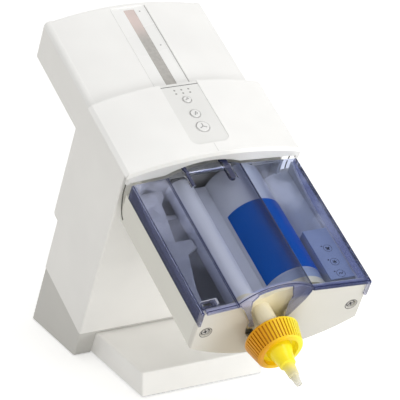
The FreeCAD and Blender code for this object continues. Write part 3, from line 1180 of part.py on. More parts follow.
def main():
    os.makedirs("parts", exist_ok=True)
    left, right = make_side_shells()
    head = {
        "foot_wedge": make_foot_wedge(),
        "side_shell_left": left,
        "side_shell_right": right,
        "rear_cover": make_rear_cover(),
        "level_strip": make_level_strip(),
        "level_window": make_level_window(),
        "front_cover": make_front_cover(),
        "keypad_panel": make_keypad_panel(),
        "key_small": make_key(KEY_RADII[0], KEY_STATIONS[0]),
        "key_medium": make_key(KEY_RADII[1], KEY_STATIONS[1]),
        "key_large": make_key(KEY_RADII[2], KEY_STATIONS[2]),
        "status_leds": make_status_leds(),
        "control_board": make_control_board(),
        "tray": make_tray(),
        "front_plate": make_front_plate(),
        "front_plate_screws": make_front_plate_screws(),
        "info_panel": make_info_panel(),
        "lid": make_lid(),
        "lid_latch": make_lid_latch(),
        "lid_hinge_pin": make_lid_hinge_pin(),
        "hinge_brackets": make_hinge_brackets(),
        "cartridge_barrel_large": make_barrel_large(),
        "cartridge_barrel_small": make_barrel_small(),
        "cartridge_front": make_cartridge_front(),
        "cartridge_label": make_cartridge_label(),
        "cartridge_piston_large": make_piston(BARREL_LARGE_X, BARREL_LARGE_N,
                                              BARREL_LARGE_RADIUS - BARREL_LARGE_WALL - RUN_FIT),
        "cartridge_piston_small": make_piston(BARREL_SMALL_X, BARREL_SMALL_N,
                                              BARREL_SMALL_RADIUS - BARREL_SMALL_WALL - RUN_FIT),
        "disc_large": make_disc(BARREL_LARGE_X, BARREL_LARGE_N, DISC_LARGE_RADIUS),
        "disc_small": make_disc(BARREL_SMALL_X, BARREL_SMALL_N, DISC_SMALL_RADIUS),
        "rod_large": make_rod(BARREL_LARGE_X, ROD_LARGE_N, ROD_LARGE_RADIUS),
        "rod_small": make_rod(BARREL_SMALL_X, BARREL_SMALL_N, ROD_SMALL_RADIUS),
        "crosshead": make_crosshead(),
        "level_indicator": make_level_indicator(),
        "spindle": make_spindle(),
        "spindle_bearing_plate": make_rear_plate(),
        "bulkhead": make_bulkhead(),
        "feed_motor": make_feed_motor(),
        "mixer_motor": make_mixer_motor(),
        "shaft_bearing": make_shaft_bearing(),
        "drive_shaft": make_drive_shaft(),
        "bayonet_ring": make_bayonet_ring(),
        "mixing_tip": make_mixing_tip(),
        "mixer_rotor": make_mixer_rotor(),
        "chassis_frame": make_chassis(),
        "power_supply": make_power_supply(),
        "power_inlet": make_power_inlet(),
        "switch_frame": make_switch_frame(),
        "power_switch": make_power_switch(),
        "cover_screws": make_cover_screws(),
    }
    parts = {name: to_machine(shape) for name, shape in head.items()}
    parts["base_plate"] = make_base_plate()
    parts["base_bottom"] = make_base_bottom()
    parts["rubber_feet"] = make_rubber_feet()
    for name, shape in parts.items():
        shape.exportStep(os.path.join("parts", name + ".step"))
        box = shape.BoundBox
        print("%-24s solids %d  volume %9.0f  x %7.1f %7.1f  y %7.1f %7.1f  z %7.1f %7.1f" % (
            name, len(shape.Solids), shape.Volume, box.XMin, box.XMax, box.YMin, box.YMax, box.ZMin, box.ZMax))


main()
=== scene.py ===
import bmesh
import bpy
import math
from mathutils import Matrix, Vector


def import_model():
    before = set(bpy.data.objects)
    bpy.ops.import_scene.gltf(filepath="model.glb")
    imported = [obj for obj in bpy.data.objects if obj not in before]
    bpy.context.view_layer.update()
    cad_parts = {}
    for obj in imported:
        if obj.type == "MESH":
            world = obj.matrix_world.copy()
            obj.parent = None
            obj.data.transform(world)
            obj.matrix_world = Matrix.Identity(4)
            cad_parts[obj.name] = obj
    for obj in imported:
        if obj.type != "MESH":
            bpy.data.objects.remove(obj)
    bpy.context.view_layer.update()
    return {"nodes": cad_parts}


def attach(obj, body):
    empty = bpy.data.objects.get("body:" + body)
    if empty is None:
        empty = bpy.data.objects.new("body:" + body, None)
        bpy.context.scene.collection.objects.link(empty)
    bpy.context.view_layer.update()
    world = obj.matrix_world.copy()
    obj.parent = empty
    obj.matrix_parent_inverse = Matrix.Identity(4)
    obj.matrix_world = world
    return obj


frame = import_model()

SLOPE = math.radians(26.7)
SHIFT_Y = 0.006425


def head(x, v, n):
    """A point of the sloping head, in millimetres, as a point of the frame in metres."""
    y = v * math.cos(SLOPE) - n * math.sin(SLOPE)
    z = v * math.sin(SLOPE) + n * math.cos(SLOPE)
    return Vector((x / 1000, y / 1000 + SHIFT_Y, z / 1000))


# Materials

def new_material(name):
    mat = bpy.data.materials.new(name)
    mat.use_nodes = True
    nodes, links = mat.node_tree.nodes, mat.node_tree.links
    shader = nodes["Principled BSDF"]
    return mat, nodes, links, shader


def head_coordinates(nodes, links):
    """Object coordinates turned so that X is across, Y along and Z out of the sloping head."""
    coord = nodes.new("ShaderNodeTexCoord")
    turn = nodes.new("ShaderNodeVectorRotate")
    turn.rotation_type = "X_AXIS"
    turn.inputs["Center"].default_value = (0, SHIFT_Y, 0)
    turn.inputs["Angle"].default_value = -SLOPE
    links.new(coord.outputs["Object"], turn.inputs["Vector"])
    return turn.outputs["Vector"]


def noise(nodes, links, vector, scale, detail=2.0):
    tex = nodes.new("ShaderNodeTexNoise")
    tex.inputs["Scale"].default_value = scale
    tex.inputs["Detail"].default_value = detail
    links.new(vector, tex.inputs["Vector"])
    return tex.outputs["Fac"]


def ramp(nodes, links, value, low, high, at=(0.3, 0.7)):
    node = nodes.new("ShaderNodeValToRGB")
    node.color_ramp.elements[0].position = at[0]
    node.color_ramp.elements[1].position = at[1]
    node.color_ramp.elements[0].color = (*low, 1)
    node.color_ramp.elements[1].color = (*high, 1)
    links.new(value, node.inputs["Fac"])
    return node.outputs["Color"]


def spread_range(nodes, links, value, low, high):
    node = nodes.new("ShaderNodeMapRange")
    node.inputs["From Min"].default_value = 0.3
    node.inputs["From Max"].default_value = 0.7
    node.inputs["To Min"].default_value = low
    node.inputs["To Max"].default_value = high
    links.new(value, node.inputs["Value"])
    return node.outputs["Result"]


def bump(nodes, links, shader, height, strength, distance):
    node = nodes.new("ShaderNodeBump")
    node.inputs["Strength"].default_value = strength
    node.inputs["Distance"].default_value = distance
    links.new(height, node.inputs["Height"])
    links.new(node.outputs["Normal"], shader.inputs["Normal"])


def scaled(tone, k):
    return tuple(min(1.0, c * k) for c in tone)


def axes_of(nodes, links, vector):
    """The three head coordinates as separate values: X across, Y along (from SHIFT_Y) and Z out."""
    split = nodes.new("ShaderNodeSeparateXYZ")
    links.new(vector, split.inputs["Vector"])
    return split.outputs["X"], split.outputs["Y"], split.outputs["Z"]


def plug(links, value, socket):
    if isinstance(value, (int, float)):
        socket.default_value = value
    else:
        links.new(value, socket)


def sum_of(nodes, links, kind, a, b=0.0):
    node = nodes.new("ShaderNodeMath")
    node.operation = kind
    plug(links, a, node.inputs[0])
    plug(links, b, node.inputs[1])
    return node.outputs["Value"]


def rise(nodes, links, value, low, high):
    """0 below low, 1 above high; with low above high it falls instead."""
    node = nodes.new("ShaderNodeMapRange")
    node.interpolation_type = "SMOOTHSTEP"
    node.inputs["From Min"].default_value = low
    node.inputs["From Max"].default_value = high
    links.new(value, node.inputs["Value"])
    return node.outputs["Result"]


def band(nodes, links, value, low, high, soft=0.0006):
    """1 between low and high, with soft edges."""
    up = rise(nodes, links, value, low - soft, low)
    down = rise(nodes, links, value, high + soft, high)
    return sum_of(nodes, links, "MULTIPLY", up, down)


def mixed_tone(nodes, links, factor, a, b):
    node = nodes.new("ShaderNodeMix")
    node.data_type = "RGBA"
    links.new(factor, node.inputs["Factor"])
    for value, socket in ((a, node.inputs[6]), (b, node.inputs[7])):
        if isinstance(value, tuple):
            socket.default_value = (*value, 1)
        else:
            links.new(value, socket)
    return node.outputs[2]


def mixed_value(nodes, links, factor, a, b):
    node = nodes.new("ShaderNodeMix")
    node.data_type = "FLOAT"
    links.new(factor, node.inputs["Factor"])
    plug(links, a, node.inputs[2])
    plug(links, b, node.inputs[3])
    return node.outputs[0]


def plastic(name, tone, rough=0.42, grain=900.0, depth=0.12, drift=0.03, specular=0.4, coat=0.0):
    """Moulded plastic: a slow drift of tone, fine texture and a little change of gloss."""
    mat, nodes, links, shader = new_material(name)
    vector = head_coordinates(nodes, links)
    slow = noise(nodes, links, vector, 14.0)
    fine = noise(nodes, links, vector, grain, 3.0)
    links.new(ramp(nodes, links, slow, scaled(tone, 1 - drift), scaled(tone, 1 + drift)), shader.inputs["Base Color"])
    links.new(spread_range(nodes, links, slow, rough - 0.05, rough + 0.05), shader.inputs["Roughness"])
    shader.inputs["Specular IOR Level"].default_value = specular
    shader.inputs["Coat Weight"].default_value = coat
    bump(nodes, links, shader, fine, depth, 0.00015)
    return mat


def two_tone(name, tone, other, mask, rough=0.4, specular=0.4):
    """Moulded plastic that passes from one tone to another over the part of it that the mask names."""
    mat, nodes, links, shader = new_material(name)
    vector = head_coordinates(nodes, links)
    slow = noise(nodes, links, vector, 14.0)
    fine = noise(nodes, links, vector, 900.0, 3.0)
    first = ramp(nodes, links, slow, scaled(tone, 0.97), scaled(tone, 1.03))
    second = ramp(nodes, links, slow, scaled(other, 0.97), scaled(other, 1.03))
    share = mask(nodes, links, *axes_of(nodes, links, vector))
    links.new(mixed_tone(nodes, links, share, first, second), shader.inputs["Base Color"])
    links.new(spread_range(nodes, links, slow, rough - 0.05, rough + 0.05), shader.inputs["Roughness"])
    shader.inputs["Specular IOR Level"].default_value = specular
    bump(nodes, links, shader, fine, 0.12, 0.00015)
    return mat


def barrel_nose(nodes, links, x, y, z):
    """The barrel's last centimetre, in front of the label."""
    return rise(nodes, links, y, SHIFT_Y - 0.0570, SHIFT_Y - 0.0620)


def shade_beside_outlet(nodes, links, x, y, z):
    """The middle of the front plate, most of all left of its opening, where painted shade darkens and warms the plate.
    """
    return sum_of(nodes, links, "MULTIPLY", rise(nodes, links, x, -0.110, -0.045), rise(nodes, links, x, 0.030, 0.000))


def cover_wall_shade_mask(nodes, links, x, y, z):
    """The left and middle part of the front cover's front wall, darkened with painted shade."""
    return sum_of(nodes, links, "MULTIPLY", rise(nodes, links, y, SHIFT_Y + 0.0885, SHIFT_Y + 0.0865),
                  rise(nodes, links, x, 0.060, -0.010))


def metal(name, tone, rough=0.3, brush=(1.0, 40.0, 1.0)):
    mat, nodes, links, shader = new_material(name)
    vector = head_coordinates(nodes, links)
    stretch = nodes.new("ShaderNodeMapping")
    stretch.inputs["Scale"].default_value = brush
    links.new(vector, stretch.inputs["Vector"])
    lines = noise(nodes, links, stretch.outputs["Vector"], 60.0, 4.0)
    links.new(ramp(nodes, links, lines, scaled(tone, 0.9), scaled(tone, 1.08)), shader.inputs["Base Color"])
    links.new(spread_range(nodes, links, lines, rough - 0.06, rough + 0.08), shader.inputs["Roughness"])
    shader.inputs["Metallic"].default_value = 1.0
    bump(nodes, links, shader, lines, 0.08, 0.0002)
    return mat


def clear(name, tone, rough=0.04, alpha=1.0, transmission=1.0, ior=1.46, drift=0.04):
    """Clear or translucent moulding."""
    mat, nodes, links, shader = new_material(name)
    vector = head_coordinates(nodes, links)
    slow = noise(nodes, links, vector, 22.0)
    links.new(ramp(nodes, links, slow, scaled(tone, 1 - drift), scaled(tone, 1 + drift)), shader.inputs["Base Color"])
    links.new(spread_range(nodes, links, slow, max(0.0, rough - 0.015), rough + 0.015), shader.inputs["Roughness"])
    shader.inputs["Transmission Weight"].default_value = transmission
    shader.inputs["IOR"].default_value = ior
    shader.inputs["Alpha"].default_value = alpha
    bump(nodes, links, shader, slow, 0.05, 0.0004)
    return mat


def lid_look():
    """Smoke-blue acrylic: clear over the hump, hazier over the wings, deep in the skirts. Painted shade darkens the
    wings towards the front, the hump's right flank, the edges and creases and the latch slot; the wings' cloudy patches
    are partly painted reflections, and the latch tab's rim has a painted highlight.
    """
    mat, nodes, links, shader = new_material("lid_smoke_blue")
    vector = head_coordinates(nodes, links)
    x, y, z = axes_of(nodes, links, vector)
    slow = noise(nodes, links, vector, 22.0)
    cloud = noise(nodes, links, vector, 30.0, 3.0)
    side = sum_of(nodes, links, "ABSOLUTE", x)
    # Painted shade: the wings darken towards the front.
    down = rise(nodes, links, y, SHIFT_Y + 0.060, SHIFT_Y - 0.005)
    tone = mixed_tone(nodes, links, down, WING_TOP_TONE, WING_LOW_SHADE_TONE)
    tone = mixed_tone(nodes, links, rise(nodes, links, x, 0.030, 0.060), tone, WING_RIGHT_TONE)
    # Cloudy patches over the wings: partly milky, partly painted reflections of the tray.
    haze_and_reflection = sum_of(nodes, links, "MULTIPLY", rise(nodes, links, cloud, 0.40, 0.66), rise(nodes, links, y, -0.060, 0.050))
    through = mixed_value(nodes, links, haze_and_reflection, WING_THROUGH, WING_HAZE_AND_REFLECTION)
    hump = sum_of(nodes, links, "MULTIPLY", rise(nodes, links, x, -0.0540, -0.0525),
                  rise(nodes, links, x, 0.048, 0.036))
    # Painted shade darkens the hump's right flank.
    hump_tone = mixed_tone(nodes, links, rise(nodes, links, x, 0.010, 0.0245), HUMP_TONE, HUMP_WALL_SHADE_TONE)
    hump_tone = mixed_tone(nodes, links, rise(nodes, links, x, 0.0262, 0.0268), hump_tone, SLOPE_TONE)
    skirt = sum_of(nodes, links, "MULTIPLY", rise(nodes, links, side, 0.0895, 0.0905),
                   rise(nodes, links, z, 0.2340, 0.2325))
    lip = rise(nodes, links, y, SHIFT_Y - 0.0865, SHIFT_Y - 0.0875)
    lip_tone = mixed_tone(nodes, links, rise(nodes, links, x, -0.030, 0.030), LIP_LEFT_TONE, LIP_RIGHT_TONE)
    lobe = sum_of(nodes, links, "MULTIPLY", lip, rise(nodes, links, z, 0.2345, 0.2300))
    # Painted shade: dark lines along the hump's creases and the lid's top edges.
    right_crease = band(nodes, links, x, 0.0260, 0.0270, 0.0004)
    left_crease = band(nodes, links, x, -0.0550, -0.0544, 0.0004)
    crease = sum_of(nodes, links, "MAXIMUM", right_crease, left_crease)
    edge = sum_of(nodes, links, "MAXIMUM", band(nodes, links, side, 0.0918, 0.0924, 0.0003),
                  band(nodes, links, y, SHIFT_Y - 0.0912, SHIFT_Y - 0.0904, 0.0003))
    high = rise(nodes, links, z, 0.2310, 0.2322)
    line = sum_of(nodes, links, "MAXIMUM", crease, sum_of(nodes, links, "MULTIPLY", edge, high))
    # Painted shade over the latch slot, with a painted highlight along the rim of its finger tab.
    tab = sum_of(nodes, links, "MULTIPLY", band(nodes, links, x, -0.0895, -0.0725),
                 band(nodes, links, y, SHIFT_Y - 0.0841, SHIFT_Y - 0.0770))
    tab_rim_highlight = sum_of(nodes, links, "MULTIPLY", tab,
                     sum_of(nodes, links, "MAXIMUM", rise(nodes, links, x, -0.0748, -0.0743),
                            rise(nodes, links, y, SHIFT_Y - 0.0786, SHIFT_Y - 0.0782)))
    for factor, next_tone, next_through in ((hump, hump_tone, HUMP_THROUGH), (skirt, SKIRT_TONE, SKIRT_THROUGH),
                                            (lip, lip_tone, LIP_THROUGH), (lobe, LOBE_TONE, LOBE_THROUGH),
                                            (line, LINE_SHADE_TONE, LINE_SHADE_THROUGH), (tab, SLOT_SHADE_TONE, SLOT_SHADE_THROUGH),
                                            (tab_rim_highlight, TAB_HIGHLIGHT_TONE, TAB_HIGHLIGHT_THROUGH)):
        tone = mixed_tone(nodes, links, factor, tone, next_tone)
        through = mixed_value(nodes, links, factor, through, next_through)
    links.new(tone, shader.inputs["Base Color"])
    links.new(through, shader.inputs["Transmission Weight"])
    links.new(spread_range(nodes, links, slow, 0.02, 0.05), shader.inputs["Roughness"])
    shader.inputs["IOR"].default_value = 1.11
    bump(nodes, links, shader, slow, 0.05, 0.0004)
    return mat


def label_look():
    """Printed foil: blue, with painted light making it a little brighter round its right side, and a fine print grain.
    """
    mat, nodes, links, shader = new_material("label_blue")
    vector = head_coordinates(nodes, links)
    x = axes_of(nodes, links, vector)[0]
    fine = noise(nodes, links, vector, 1500.0, 3.0)
    slow = noise(nodes, links, vector, 30.0)
    # Painted light: the label brightens round its right side.
    tone = mixed_tone(nodes, links, rise(nodes, links, x, 0.028, 0.050), LABEL_SHADED_LEFT, LABEL_LIT_RIGHT)
    grain = mixed_tone(nodes, links, slow, (0.94, 0.94, 0.94), (1.0, 1.0, 1.0))
    node = nodes.new("ShaderNodeMix")
    node.data_type = "RGBA"
    node.blend_type = "MULTIPLY"
    node.inputs["Factor"].default_value = 1.0
    links.new(tone, node.inputs[6])
    links.new(grain, node.inputs[7])
    links.new(node.outputs[2], shader.inputs["Base Color"])
    links.new(spread_range(nodes, links, slow, 0.36, 0.44), shader.inputs["Roughness"])
    shader.inputs["Specular IOR Level"].default_value = 0.06
    bump(nodes, links, shader, fine, 0.02, 0.00005)
    return mat


def ring_look():
    """Yellow moulding, made more orange by painted shade in its grooves and on its left side, away from the window, and
    brighter by a painted highlight on its right side.
    """
    mat, nodes, links, shader = new_material("ring_yellow")
    vector = head_coordinates(nodes, links)
    x, y, z = axes_of(nodes, links, vector)
    across = sum_of(nodes, links, "SUBTRACT", x, OUTLET_X)
    out = sum_of(nodes, links, "SUBTRACT", z, OUTLET_N)
    square = sum_of(nodes, links, "ADD", sum_of(nodes, links, "MULTIPLY", across, across),
                    sum_of(nodes, links, "MULTIPLY", out, out))
    behind = sum_of(nodes, links, "SUBTRACT", y, SHIFT_Y + RING_FRONT_V)
    outside = sum_of(nodes, links, "ADD", sum_of(nodes, links, "MULTIPLY", behind, RING_TAPER), RING_FRONT_RADIUS)
    depth = sum_of(nodes, links, "SUBTRACT", outside, sum_of(nodes, links, "SQRT", square))
    fine = noise(nodes, links, vector, 700.0, 3.0)
    slow = noise(nodes, links, vector, 40.0)
    # Painted light: orange shade on the left side, bright yellow highlight on the right.
    lit = mixed_tone(nodes, links, rise(nodes, links, across, -0.022, -0.002), RING_SHADED_LEFT, RING_MIDDLE)
    lit = mixed_tone(nodes, links, rise(nodes, links, across, -0.002, 0.020), lit, RING_LIT_RIGHT)
    # Painted shade in the grooves between the ribs.
    ribbed = sum_of(nodes, links, "MULTIPLY", band(nodes, links, depth, 0.0008, 0.0020, 0.0003),
                    rise(nodes, links, behind, 0.0016, 0.0020))
    groove = sum_of(nodes, links, "MULTIPLY", ribbed, RING_GROOVE_SHADE_SHARE)
    links.new(mixed_tone(nodes, links, groove, lit, RING_GROOVE_SHADE_TONE), shader.inputs["Base Color"])
    links.new(spread_range(nodes, links, slow, 0.28, 0.40), shader.inputs["Roughness"])
    shader.inputs["Specular IOR Level"].default_value = 0.3
    bump(nodes, links, shader, fine, 0.08, 0.00012)
    return mat


def tip_look():
    """Yellow translucent moulding that pales and clears towards its end."""
    mat, nodes, links, shader = new_material("tip_yellow")
    vector = head_coordinates(nodes, links)
    y = axes_of(nodes, links, vector)[1]
    slow = noise(nodes, links, vector, 60.0)
    far = rise(nodes, links, y, SHIFT_Y - 0.140, SHIFT_Y - 0.166)
    links.new(mixed_tone(nodes, links, far, TIP_NEAR, TIP_FAR), shader.inputs["Base Color"])
    links.new(mixed_value(nodes, links, far, 0.05, 0.7), shader.inputs["Transmission Weight"])
    links.new(spread_range(nodes, links, slow, 0.14, 0.24), shader.inputs["Roughness"])
    shader.inputs["IOR"].default_value = 1.4
    bump(nodes, links, shader, slow, 0.06, 0.0003)
    return mat


def strip_look():
    """White inlay with a thin printed border."""
    mat, nodes, links, shader = new_material("strip_inlay")
    vector = head_coordinates(nodes, links)
    x, y, _ = axes_of(nodes, links, vector)
    slow = noise(nodes, links, vector, 14.0)
    fine = noise(nodes, links, vector, 900.0, 3.0)
    border = rise(nodes, links, sum_of(nodes, links, "ABSOLUTE", x), 0.0196, 0.0199)
    white = ramp(nodes, links, slow, scaled(STRIP_WHITE, 0.97), scaled(STRIP_WHITE, 1.03))
    links.new(mixed_tone(nodes, links, border, white, STRIP_BORDER), shader.inputs["Base Color"])
    links.new(spread_range(nodes, links, slow, 0.25, 0.35), shader.inputs["Roughness"])
    bump(nodes, links, shader, fine, 0.08, 0.00012)
    return mat


def window_look():
    """Smoked window over the level scale, warming to a pale red at its far end."""
    mat, nodes, links, shader = new_material("smoked_window")
    vector = head_coordinates(nodes, links)
    y = axes_of(nodes, links, vector)[1]
    grain = noise(nodes, links, vector, 260.0, 3.0)
    grey = ramp(nodes, links, grain, scaled(WINDOW_GREY, 0.92), scaled(WINDOW_GREY, 1.08))
    far = rise(nodes, links, y, SHIFT_Y + 0.264, SHIFT_Y + 0.298)
    links.new(mixed_tone(nodes, links, far, grey, WINDOW_RED), shader.inputs["Base Color"])
    links.new(spread_range(nodes, links, grain, 0.10, 0.18), shader.inputs["Roughness"])
    shader.inputs["Transmission Weight"].default_value = 0.3
    bump(nodes, links, shader, grain, 0.04, 0.0001)
    return mat


WHITE = (0.90, 0.898, 0.885)
STRIP_WHITE = (0.88, 0.88, 0.87)
STRIP_BORDER = (0.50, 0.50, 0.49)
WINDOW_GREY = (0.62, 0.60, 0.57)
WINDOW_RED = (0.93, 0.79, 0.75)
BODY = (0.86, 0.85, 0.825)
FOOT = (0.60, 0.59, 0.56)
TRAY = (0.70, 0.69, 0.63)
PLATE = (0.66, 0.645, 0.60)
# Painted shade on the front plate beside the outlet.
PLATE_SHADE_NEAR_OUTLET = (0.555, 0.505, 0.405)
# Painted shade on the front cover's front wall.
COVER_WALL_SHADE = (0.72, 0.715, 0.69)
NAVY = (0.03, 0.035, 0.09)
# Black of printed symbols, also used for painted shade in the screw cups and behind the keypad.
INK = (0.03, 0.03, 0.035)
KEY_WHITE = (0.82, 0.82, 0.81)

WING_TOP_TONE = (0.67, 0.70, 0.86)
# Painted shade on the wings towards the front.
WING_LOW_SHADE_TONE = (0.44, 0.47, 0.60)
WING_RIGHT_TONE = (0.56, 0.61, 0.78)
# Transmission of the wings and of their cloudy patches, which are partly painted reflections.
WING_THROUGH, WING_HAZE_AND_REFLECTION = 0.97, 0.72
HUMP_TONE, HUMP_THROUGH = (0.69, 0.71, 0.79), 1.0
# Painted shade on the hump's right flank.
HUMP_WALL_SHADE_TONE = (0.30, 0.33, 0.46)
SLOPE_TONE = (0.72, 0.76, 0.87)
SKIRT_TONE, SKIRT_THROUGH = (0.17, 0.19, 0.34), 0.88
LIP_LEFT_TONE, LIP_RIGHT_TONE, LIP_THROUGH = (0.62, 0.65, 0.90), (0.22, 0.25, 0.45), 0.80
LOBE_TONE, LOBE_THROUGH = (0.52, 0.52, 0.60), 0.75
# Painted shade lines along creases and edges.
LINE_SHADE_TONE, LINE_SHADE_THROUGH = (0.015, 0.02, 0.07), 0.2
# Painted shade in the latch slot and a painted highlight on its tab rim.
SLOT_SHADE_TONE, SLOT_SHADE_THROUGH = (0.16, 0.17, 0.26), 0.6
TAB_HIGHLIGHT_TONE, TAB_HIGHLIGHT_THROUGH = (0.62, 0.64, 0.74), 0.5

# Label blue, with painted light on its right side.
LABEL_SHADED_LEFT = (0.002, 0.10, 0.44)
LABEL_LIT_RIGHT = (0.001, 0.12, 0.58)

OUTLET_X = -0.0140
OUTLET_N = 0.1956
RING_FRONT_V = -0.1264
RING_FRONT_RADIUS = 0.0236
RING_TAPER = 0.221
# Painted light on the ring: shade on its left, highlight on its right, shade in its grooves.
RING_SHADED_LEFT = (0.70, 0.31, 0.003)
RING_MIDDLE = (0.87, 0.55, 0.004)
RING_LIT_RIGHT = (0.95, 0.84, 0.045)
RING_GROOVE_SHADE_TONE = (0.50, 0.13, 0.002)
RING_GROOVE_SHADE_SHARE = 0.55
TIP_NEAR = (1.0, 0.84, 0.016)
TIP_FAR = (1.0, 0.99, 0.93)

LOOKS = {
    "base_plate": plastic("base_moulding", (0.93, 0.92, 0.895), 0.45),
    "base_bottom": metal("zinc_sheet", (0.6, 0.6, 0.61), 0.35),
    "rubber_feet": plastic("black_rubber", (0.03, 0.03, 0.03), 0.8, 400.0, 0.4, 0.1, 0.2),
    "foot_wedge": plastic("foot_grey", FOOT, 0.5),
    "side_shell_left": plastic("shell_left", BODY, 0.42),
    "side_shell_right": plastic("shell_right", BODY, 0.42),
    "rear_cover": plastic("rear_cover_white", WHITE, 0.36),
    "level_strip": strip_look(),
    "level_window": window_look(),
    # The front cover's front wall carries painted shade.
    "front_cover": two_tone("front_cover_white", WHITE, COVER_WALL_SHADE, cover_wall_shade_mask, 0.34),
    "keypad_panel": plastic("keypad_film", (0.80, 0.80, 0.785), 0.5, 1400.0, 0.1),
    "key_small": plastic("key_small_white", KEY_WHITE, 0.4),
    "key_medium": plastic("key_medium_white", KEY_WHITE, 0.4),
    "key_large": plastic("key_large_white", KEY_WHITE, 0.4),
    "status_leds": clear("led_lens", (0.42, 0.42, 0.40), 0.2, 1.0, 0.2),
    "control_board": plastic("board_green", (0.05, 0.22, 0.09), 0.5),
    "tray": plastic("tray_moulding", TRAY, 0.4),
    # Painted shade darkens the front plate beside its outlet.
    "front_plate": two_tone("front_plate_moulding", PLATE, PLATE_SHADE_NEAR_OUTLET, shade_beside_outlet),
    "front_plate_screws": metal("screw_steel", (0.55, 0.53, 0.50), 0.4, (1, 1, 1)),
    "info_panel": plastic("symbol_plate", (0.46, 0.52, 0.62), 0.4),
    "lid": lid_look(),
    "lid_latch": plastic("latch_smoke", (0.08, 0.085, 0.12), 0.35),
    "hinge_brackets": plastic("bracket_navy", NAVY, 0.3, 700.0, 0.06, 0.05, 0.5),
    "lid_hinge_pin": metal("pin_steel", (0.75, 0.75, 0.76), 0.25),
    "cartridge_barrel_large": two_tone("barrel_large", (0.62, 0.635, 0.67), (0.36, 0.42, 0.54), barrel_nose, 0.3),
    "cartridge_barrel_small": plastic("barrel_small", (0.84, 0.85, 0.86), 0.3),
    "cartridge_front": plastic("cartridge_cap", (0.88, 0.80, 0.56), 0.35),
    "cartridge_label": label_look(),
    "cartridge_piston_large": plastic("piston_large", (0.78, 0.78, 0.74), 0.5),
    "cartridge_piston_small": plastic("piston_small", (0.78, 0.78, 0.74), 0.5),
    "disc_large": metal("disc_large_alu", (0.78, 0.78, 0.8), 0.3),
    "disc_small": metal("disc_small_alu", (0.78, 0.78, 0.8), 0.3),
    "rod_large": metal("rod_large_chrome", (0.8, 0.8, 0.82), 0.15),
    "rod_small": metal("rod_small_chrome", (0.8, 0.8, 0.82), 0.15),
    "crosshead": metal("crosshead_alu", (0.72, 0.72, 0.74), 0.35),
    "level_indicator": plastic("pointer_red", (0.62, 0.05, 0.03), 0.4),
    "spindle": metal("spindle_steel", (0.6, 0.6, 0.62), 0.3),
    "spindle_bearing_plate": metal("bearing_plate_alu", (0.72, 0.72, 0.74), 0.35),
    "bulkhead": metal("bulkhead_alu", (0.72, 0.72, 0.74), 0.35),
    "feed_motor": metal("feed_motor_steel", (0.5, 0.5, 0.52), 0.35),
    "mixer_motor": metal("mixer_motor_steel", (0.5, 0.5, 0.52), 0.35),
    "shaft_bearing": metal("bearing_steel", (0.7, 0.7, 0.7), 0.2),
    "drive_shaft": metal("shaft_steel", (0.7, 0.7, 0.7), 0.2),
    "bayonet_ring": ring_look(),
    "mixing_tip": tip_look(),
    "mixer_rotor": plastic("rotor_white", (0.82, 0.80, 0.70), 0.4),
    "chassis_frame": plastic("chassis_paint", (0.42, 0.43, 0.45), 0.45),
    "power_supply": metal("supply_case", (0.55, 0.56, 0.57), 0.4),
    "power_inlet": plastic("inlet_black", (0.02, 0.02, 0.02), 0.4),
    "switch_frame": plastic("switch_frame_black", (0.02, 0.02, 0.02), 0.4),
    "power_switch": plastic("rocker_black", (0.03, 0.03, 0.03), 0.3),
    "cover_screws": metal("cover_screw_steel", (0.65, 0.65, 0.65), 0.3, (1, 1, 1)),
}

for name, obj in frame["nodes"].items():
    obj.data.materials.clear()
    obj.data.materials.append(LOOKS[name])


# Small pieces

def head_box(name):
    """Lowest and highest head coordinates of a node, in millimetres."""
    cos, sin = math.cos(SLOPE), math.sin(SLOPE)
    points = []
    for vertex in frame["nodes"][name].data.vertices:
        x, y, z = vertex.co
        y -= SHIFT_Y
        points.append((x * 1000, (y * cos + z * sin) * 1000, (z * cos - y * sin) * 1000))
    return [[pick(p[i] for p in points) for i in range(3)] for pick in (min, max)]


def piece(name, bm, material, body):
    mesh = bpy.data.meshes.new(name)
    bmesh.ops.recalc_face_normals(bm, faces=bm.faces)
    bm.to_mesh(mesh)
    bm.free()
    obj = bpy.data.objects.new(name, mesh)
    bpy.context.collection.objects.link(obj)
    mesh.materials.append(material)
    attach(obj, body)
    return obj


def add_prism(bm, outline, low, high):
    """A thin plate with this outline across and along the head, from one height to another."""
    rows = [[bm.verts.new(head(x, v, n)) for x, v in outline] for n in (low, high)]
    bm.faces.new(rows[0])
    bm.faces.new(rows[1])
    for i in range(len(outline)):
        j = (i + 1) % len(outline)
        bm.faces.new((rows[0][i], rows[0][j], rows[1][j], rows[1][i]))


def add_ring(bm, x, v, radius, width, low, high, steps=40):
    """A flat ring round a point of the head."""
    corners = ((radius, low), (radius + width, low), (radius + width, high), (radius, high))
    loops = []
    for k in range(steps):
        a = 2 * math.pi * k / steps
        loops.append([bm.verts.new(head(x + r * math.cos(a), v + r * math.sin(a), n)) for r, n in corners])
    for k in range(steps):
        here, there = loops[k], loops[(k + 1) % steps]
        for i in range(4):
            j = (i + 1) % 4
            bm.faces.new((here[i], here[j], there[j], there[i]))


def disc(x, v, radius, steps=18):
    turn = 2 * math.pi / steps
    return [(x + radius * math.cos(k * turn), v + radius * math.sin(k * turn)) for k in range(steps)]


def bar(x, v, length, width, degrees):
    """Outline of a bar round a point, turned by an angle."""
    a = math.radians(degrees)
    ux, uv = math.cos(a) * length / 2, math.sin(a) * length / 2
    wx, wv = -math.sin(a) * width / 2, math.cos(a) * width / 2
    return [(x - ux - wx, v - uv - wv), (x + ux - wx, v + uv - wv), (x + ux + wx, v + uv + wv),
            (x - ux + wx, v - uv + wv)]


